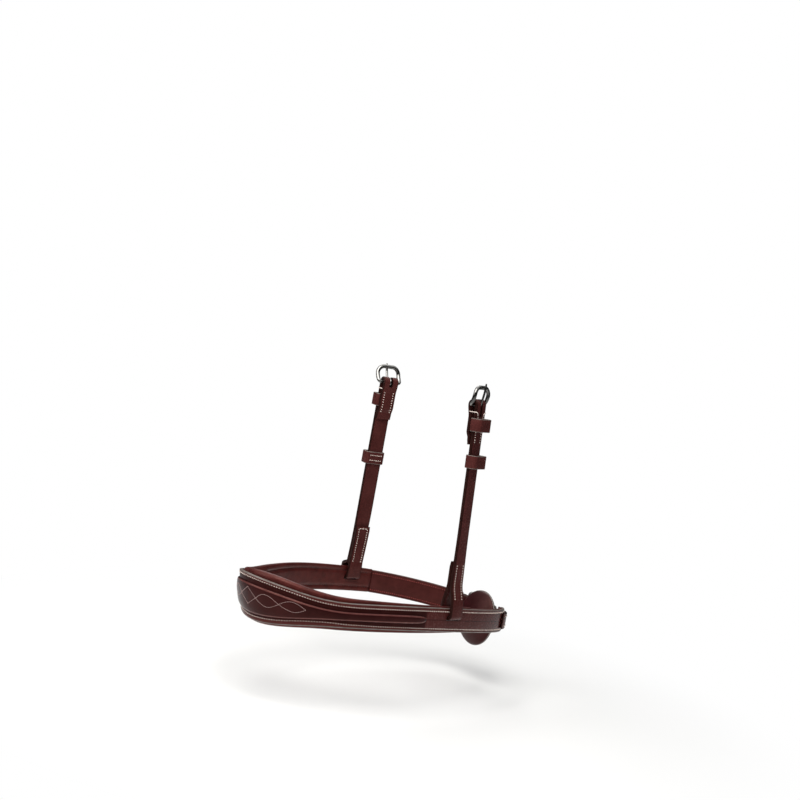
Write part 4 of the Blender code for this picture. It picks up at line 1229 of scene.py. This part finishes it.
# Closing buckle. The chape, a thinner strip folded round the heel bar, is sewn to the off
# end of the band behind the jaw
CHAPE_THICK = 0.0020
CHAPE_EDGE = 0.0007
CHAPE_TAIL = 0.052
CHAPE_BAR = 0.0225
CHAPE_BEND_END = 0.0270
CHAPE_SLOT_LOW = -0.0046
CHAPE_SLOT_HIGH = 0.010
CLOSING_THICK = 0.0028
CLOSING_SEWN = 0.058
CLOSING_TAIL = 0.080
CLOSING_OUT = -0.0030
CLOSING_POINT = 0.010
CLOSING_POINT_SHARE = 0.3
CLOSING_RIDE = 0.0005
CLOSING_HOLE_LOW = -0.0022
CLOSING_HOLE_HIGH = 0.0108
CLOSING_BRIDGE_STEPS = 3
CLOSING_ROW = (0.055, 0.032)
CHAPE_ROW = (0.050, 0.044)
REAR_KEEPER_START = 0.0305
REAR_STEP = 0.0016
PAD_LOOP_START = 0.0024
PAD_LOOP_LENGTH = 0.0100
PAD_LOOP_THICK = 0.0015
PAD_LOOP_PLAY = 0.0006
upright = Vector((0, 0, 1))


def behind(distance, out=0.0, up=0.0):
    """Point at a distance from the middle of the jaw, positive to the near side."""
    return place(ROUND / 2 - distance, out, up)


def behind_run(start, end, out):
    """Points along the off side behind the jaw."""
    return [behind(-distance, out) for distance in stations(start, end, REAR_STEP)]


chape_inner = LEATHER_THICK + GAP + CHAPE_THICK / 2
chape_outer = chape_inner + CHAPE_THICK + KEEPER_THICK + 2 * GAP
chape_bar = behind(-CHAPE_BAR, (chape_inner + chape_outer) / 2)
bar_out = outward(ROUND / 2 + CHAPE_BAR)
bar_near = Vector((bar_out.y, -bar_out.x, 0))
chape_fold = WIRE_RADIUS + GAP + CHAPE_THICK / 2
fold_arc = arc((0, 0), chape_fold, -RIGHT, RIGHT, 2 * BEND_STEPS)
chape_path = behind_run(CHAPE_TAIL, CHAPE_BEND_END, chape_inner)
chape_path += [chape_bar + bar_near * x + bar_out * y for x, y in fold_arc]
chape_path += behind_run(CHAPE_BEND_END, CHAPE_TAIL, chape_outer)

jaw = place(ROUND / 2)
strap_y = jaw.y + CLOSING_OUT
sewn_out = LEATHER_THICK + GAP + CLOSING_THICK / 2
ride_out = chape_outer + CHAPE_THICK / 2 + GAP + CLOSING_THICK / 2
over_bar = WIRE_RADIUS + GAP + CHAPE_THICK + CLOSING_RIDE + CLOSING_THICK / 2
bar_rise = strap_y + CLOSING_THICK / 2 + GAP + BUCKLE_ARM_RADIUS - chape_bar.y
bar_run = (BUCKLE_REACH ** 2 - bar_rise ** 2) ** 0.5
frame_along = Vector((bar_run, bar_rise, 0)).normalized()
frame_face = Vector((-bar_rise, bar_run, 0)).normalized()
frame_turn = Matrix((frame_face, frame_along.cross(frame_face), frame_along)).transposed()
closing_matrix = Matrix.Translation(chape_bar) @ frame_turn.to_4x4()
chape_reach = chape_fold + CHAPE_THICK
chape_shape = strap_mesh("chape", chape_path, upright, CHAPE_THICK, CHAPE_EDGE, ("first",))
chape_shape = cut_box(chape_shape, (-chape_reach, -tongue_half, CHAPE_SLOT_LOW),
                      (chape_reach, tongue_half, CHAPE_SLOT_HIGH), closing_matrix)
put("closing_chape_leather", chape_shape, [bridle_leather, slicked_edge], "closing_buckle_chape")
add_buckle("closing", closing_matrix)


# Closing strap. Sewn to the band's near end, it crosses the jaw through the chin pad's
# loop, goes through the buckle and lies along the chape, its point held by a keeper
def bridged(leaving, arriving, count):
    """Points of a smooth bend between the last of two points and the first of two."""
    start, end = leaving[1], arriving[0]
    reach = (end - start).length
    go = (leaving[1] - leaving[0]).normalized() * reach
    come = (arriving[1] - arriving[0]).normalized() * reach
    return [start * (2 * t ** 3 - 3 * t * t + 1) + go * (t ** 3 - 2 * t * t + t)
            + end * (3 * t * t - 2 * t ** 3) + come * (t ** 3 - t * t)
            for t in [i / count for i in range(1, count)]]


near_run = [behind(d, sewn_out) for d in stations(CLOSING_SEWN, JAW_OPENING / 2 + GAP, REAR_STEP)]
chord = [Vector((x, strap_y, jaw.z)) for x in
         stations(PAD_LOOP_START + PAD_LOOP_LENGTH + PAD_LOOP_PLAY,
                  chape_bar.x + bar_run - BUCKLE_ARM_RADIUS, REAR_STEP)]
from_bar = chord[-1] - chape_bar
leave = atan2(from_bar.y, from_bar.x) + acos(over_bar / from_bar.xy.length)
settle = atan2(bar_out.y, bar_out.x)
over_arc = [Vector((x, y, jaw.z)) for x, y in arc(chape_bar.xy, over_bar, leave, settle, BEND_STEPS)]
tail = eased((ride_out, CHAPE_TAIL), (sewn_out + CLOSING_RIDE, CLOSING_TAIL), 2 * BEND_STEPS)
closing_path = near_run + bridged(near_run[-2:], chord[:2], BEND_STEPS) + chord
closing_path += bridged(chord[-2:], over_arc[:2], CLOSING_BRIDGE_STEPS) + over_arc
closing_path += behind_run(CHAPE_BEND_END, CHAPE_TAIL, ride_out) + [behind(-d, out) for out, d in tail]
closing_widths = []
for point in closing_path:
    left = min((point - closing_path[-1]).length / CLOSING_POINT, 1.0)
    closing_widths.append(STRAP_WIDTH * blend(CLOSING_POINT_SHARE, 1, left ** 0.5))
closing_shape = strap_mesh("closing", closing_path, upright, CLOSING_THICK, STRAP_EDGE, ("first",),
                           closing_widths)
closing_shape = cut_box(closing_shape, (-BUCKLE_REACH / 2, -tongue_half, CLOSING_HOLE_LOW),
                        (BUCKLE_REACH / 2, tongue_half, CLOSING_HOLE_HIGH), closing_matrix)
put("closing_strap_leather", closing_shape, [bridle_leather, slicked_edge], "closing_strap")

closing_rows = []
for up in (-LAP_ROW_AT, LAP_ROW_AT):
    for side, (start, end), out in ((1, CLOSING_ROW, sewn_out + CLOSING_THICK / 2),
                                    (-1, CHAPE_ROW, chape_outer + CHAPE_THICK / 2)):
        row = [(behind(side * d, out - CREASE_DEPTH, up), outward(ROUND / 2 - side * d))
               for d in stations(start, end, REAR_STEP)]
        closing_rows += seam(row, ROW_PITCH)
sew("closing_strap_stitching", closing_rows, STRAP_STITCH, cream_thread)

rear_keeper = keeper_mesh(
    "closing_keeper", (chape_inner + CHAPE_THICK / 2 + GAP + KEEPER_THICK, -keeper_high[1]),
    (ride_out + CLOSING_THICK / 2 + 2 * GAP, keeper_high[1]),
    REAR_KEEPER_START, KEEPER_LENGTH, lambda d, out, up: behind(-d, out, up))
put("closing_keeper_leather", rear_keeper, [bridle_leather, edge_paint], "closing_strap_keeper")


# Chin pad. An oval foam pad under soft wine-dark leather, with a stiff backing whose edge
# is painted; a leather loop on its back carries it on the closing strap
PAD_WIDTH = 0.046
PAD_HEIGHT = 0.0526
PAD_DOME = 0.0062
PAD_RIM = 0.0019
PAD_RIM_PROFILE = ((0.985, -0.10), (1.0, 0.10), (1.0, 0.75), (0.985, 1.0))
PAD_FACE_SHARE = 0.975
PAD_BACK_SHARE = 0.985
PAD_LEAST_SHARE = 0.004
PAD_SEAM_SHARE = 0.25
PAD_EDGE_POWER = 10
PAD_WELD = 0.000002
PAD_SETBACK = 0.0090
PAD_BEND_RADIUS = 0.150
PAD_DROP = 0.0056
PAD_LEAN = radians(4.8)
PAD_BOSS_SHARE = 0.62
PAD_SIDES = 96
PAD_RINGS = 26

pad_leather = leather("wine_dark_pad_leather", "#250b0d", "#311215", 10, 0.8, 0.10, 0.36, 0.4)


def pad_point(turn, share, out):
    """Point of the pad at a turn round it, a share of its radius and a depth from its back."""
    across, height = share * cos(turn) * PAD_WIDTH / 2, share * sin(turn) * PAD_HEIGHT / 2
    lean = tan(PAD_LEAN) * height - across ** 2 / (2 * PAD_BEND_RADIUS)
    return Vector((across, jaw.y - PAD_SETBACK - PAD_RIM + out + lean, jaw.z + height - PAD_DROP))


boss_rise = CLOSING_OUT - CLOSING_THICK / 2 - 2 * GAP - PAD_LOOP_THICK + PAD_SETBACK
pad_profile = []
for whole in [sin(RIGHT * i / PAD_RINGS) for i in range(PAD_RINGS + 1)]:
    rim = blend(PAD_SEAM_SHARE, 1, (1 - whole ** PAD_EDGE_POWER) ** 0.5)
    pad_profile.append((whole * PAD_FACE_SHARE, -PAD_RIM * rim - PAD_DOME * (1 - whole ** 2), 0))
pad_profile += [(share, PAD_RIM * out, 1) for share, out in PAD_RIM_PROFILE]
for share in [PAD_BACK_SHARE * (1 - i / PAD_RINGS) for i in range(1, PAD_RINGS + 1)]:
    pad_profile.append((share, PAD_RIM + boss_rise * fade(share, PAD_BOSS_SHARE), 0))
pad_rings = []
for turn in [2 * pi * k / PAD_SIDES for k in range(PAD_SIDES)]:
    pad_rings.append([pad_point(turn, max(share, PAD_LEAST_SHARE), out) for share, out, part in pad_profile])
pad_shape = loft("chin_pad", pad_rings, lambda i: pad_profile[i][2], True, PAD_WELD)
chin_pad = put("padded_chin_pad", pad_shape, [pad_leather, edge_paint], "chin_pad")

pad_loop = keeper_mesh(
    "pad_loop", (strap_y - CLOSING_THICK / 2 - GAP, -keeper_high[1]),
    (strap_y + CLOSING_THICK / 2 + PAD_LOOP_PLAY, keeper_high[1]),
    PAD_LOOP_START, PAD_LOOP_LENGTH, lambda d, back, up: Vector((d, back, jaw.z + up)))
put("chin_pad_loop_leather", pad_loop, [bridle_leather, edge_paint], "chin_pad_loop")


# Floor. A plain pale ground a little below the noseband, which only takes its shadow: away
# from it the ground is plain white, and in polished faces it is dim, as the sky is
FLOOR_DROP = 0.035
FLOOR_HALF = 6.0
FLOOR_MIDDLE = (0.0, 0.14, 0.0)
SHADOW_REACH = 0.42
DARK_FROM = 0.7
HORIZON_LIGHT = 0.05
FLOOR_LIGHT = 0.45
WHITE = (1, 1, 1, 1)
SOFT = {"interpolation_type": "SMOOTHSTEP"}

floor_paint, tree, ground, spot = surface("pale_matt_ground")
ground.inputs["Base Color"].default_value = linear("#f2f2f1")
ground.inputs["Roughness"].default_value = 0.9
ground.inputs["Specular IOR Level"].default_value = 0.0
distance = add_node(tree, "VectorMath", {1: FLOOR_MIDDLE}, {0: spot}, operation="DISTANCE").outputs["Value"]
rays = add_node(tree, "LightPath").outputs
seen = maths(tree, "MAXIMUM", rays["Is Camera Ray"], rays["Is Glossy Ray"])
white = maths(tree, "MULTIPLY", seen, ramp(tree, distance, SHADOW_REACH * 0.4, SHADOW_REACH, **SOFT))
dusk = ramp(tree, distance, DARK_FROM, DARK_FROM * 2, 1.0 - FLOOR_LIGHT, 1.0 - HORIZON_LIGHT, **SOFT)
lost = maths(tree, "MULTIPLY", rays["Is Glossy Ray"], dusk)
light = add_node(tree, "Math", {0: 1.0}, {1: lost}, operation="SUBTRACT").outputs[0]
glow = add_node(tree, "Emission", {"Color": WHITE}, {"Strength": light})
mixed = add_node(tree, "MixShader", None, {0: white, 1: ground.outputs[0], 2: glow.outputs[0]})
tree.links.new(mixed.outputs[0], tree.nodes["Material Output"].inputs["Surface"])
floor_mesh = bpy.data.meshes.new("floor")
floor_shape = bmesh.new()
bmesh.ops.create_grid(floor_shape, x_segments=2, y_segments=2, size=FLOOR_HALF)
floor_shape.to_mesh(floor_mesh)
floor_shape.free()
floor_mesh.materials.append(floor_paint)
floor = add_object("floor", floor_mesh)
floor.location.z = cad_box[0][2] - FLOOR_DROP

# Light. Soft boxes in a white studio: a large one high over the camera's left, a weaker one
# low to its left, and one behind for the rim. Polished faces mirror a dark band round the
# horizon, so they stay deep and only their ridges shine
LIGHT_AIM = Vector((0, 0.13, 0.06))
SKY_FROM = 0.40
SKY_FULL = 0.75
LAMP_COLOUR = (1.0, 0.985, 0.965)
SOFT_BOXES = (("overhead", -20, 58, 1.2, 0.9, 13.0), ("left", -70, 25, 1.5, 0.7, 5.0),
              ("rear", 190, 50, 1.4, 0.8, 5.0))

for name, turn, height, far, size, power in SOFT_BOXES:
    lamp = bpy.data.lights.new(name, "AREA")
    lamp.energy = power
    lamp.size = size
    lamp.color = LAMP_COLOUR
    box = add_object(name, lamp)
    away = seen_from(VIEW_AZIMUTH + radians(turn), radians(height))
    box.location = LIGHT_AIM + away * far
    box.rotation_euler = away.to_track_quat("Z", "Y").to_euler()

world = bpy.data.worlds.new("white_studio")
bpy.context.scene.world = world
world.use_nodes = True
tree = world.node_tree
backdrop = tree.nodes["Background"]
backdrop.inputs["Color"].default_value = WHITE
backdrop.inputs["Strength"].default_value = 1.0
rays = add_node(tree, "LightPath").outputs
shown = maths(tree, "MAXIMUM", rays["Is Camera Ray"], rays["Is Transmission Ray"])
lit = add_node(tree, "Background", {"Color": (0.96, 0.98, 1.0, 1), "Strength": 0.40})
sky = add_node(tree, "SeparateXYZ", None, {0: add_node(tree, "TexCoord").outputs["Generated"]})
level = ramp(tree, sky.outputs["Z"], SKY_FROM, SKY_FULL, HORIZON_LIGHT, 1.0, **SOFT)
mirror = add_node(tree, "Background", {"Color": WHITE}, {"Strength": level})
dull = add_node(tree, "MixShader", None, {0: rays["Is Glossy Ray"], 1: lit.outputs[0], 2: mirror.outputs[0]})
mixed = add_node(tree, "MixShader", None, {0: shown, 1: dull.outputs[0], 2: backdrop.outputs[0]})
tree.links.new(mixed.outputs[0], tree.nodes["World Output"].inputs["Surface"])
bpy.context.scene.view_settings.view_transform = "Standard"
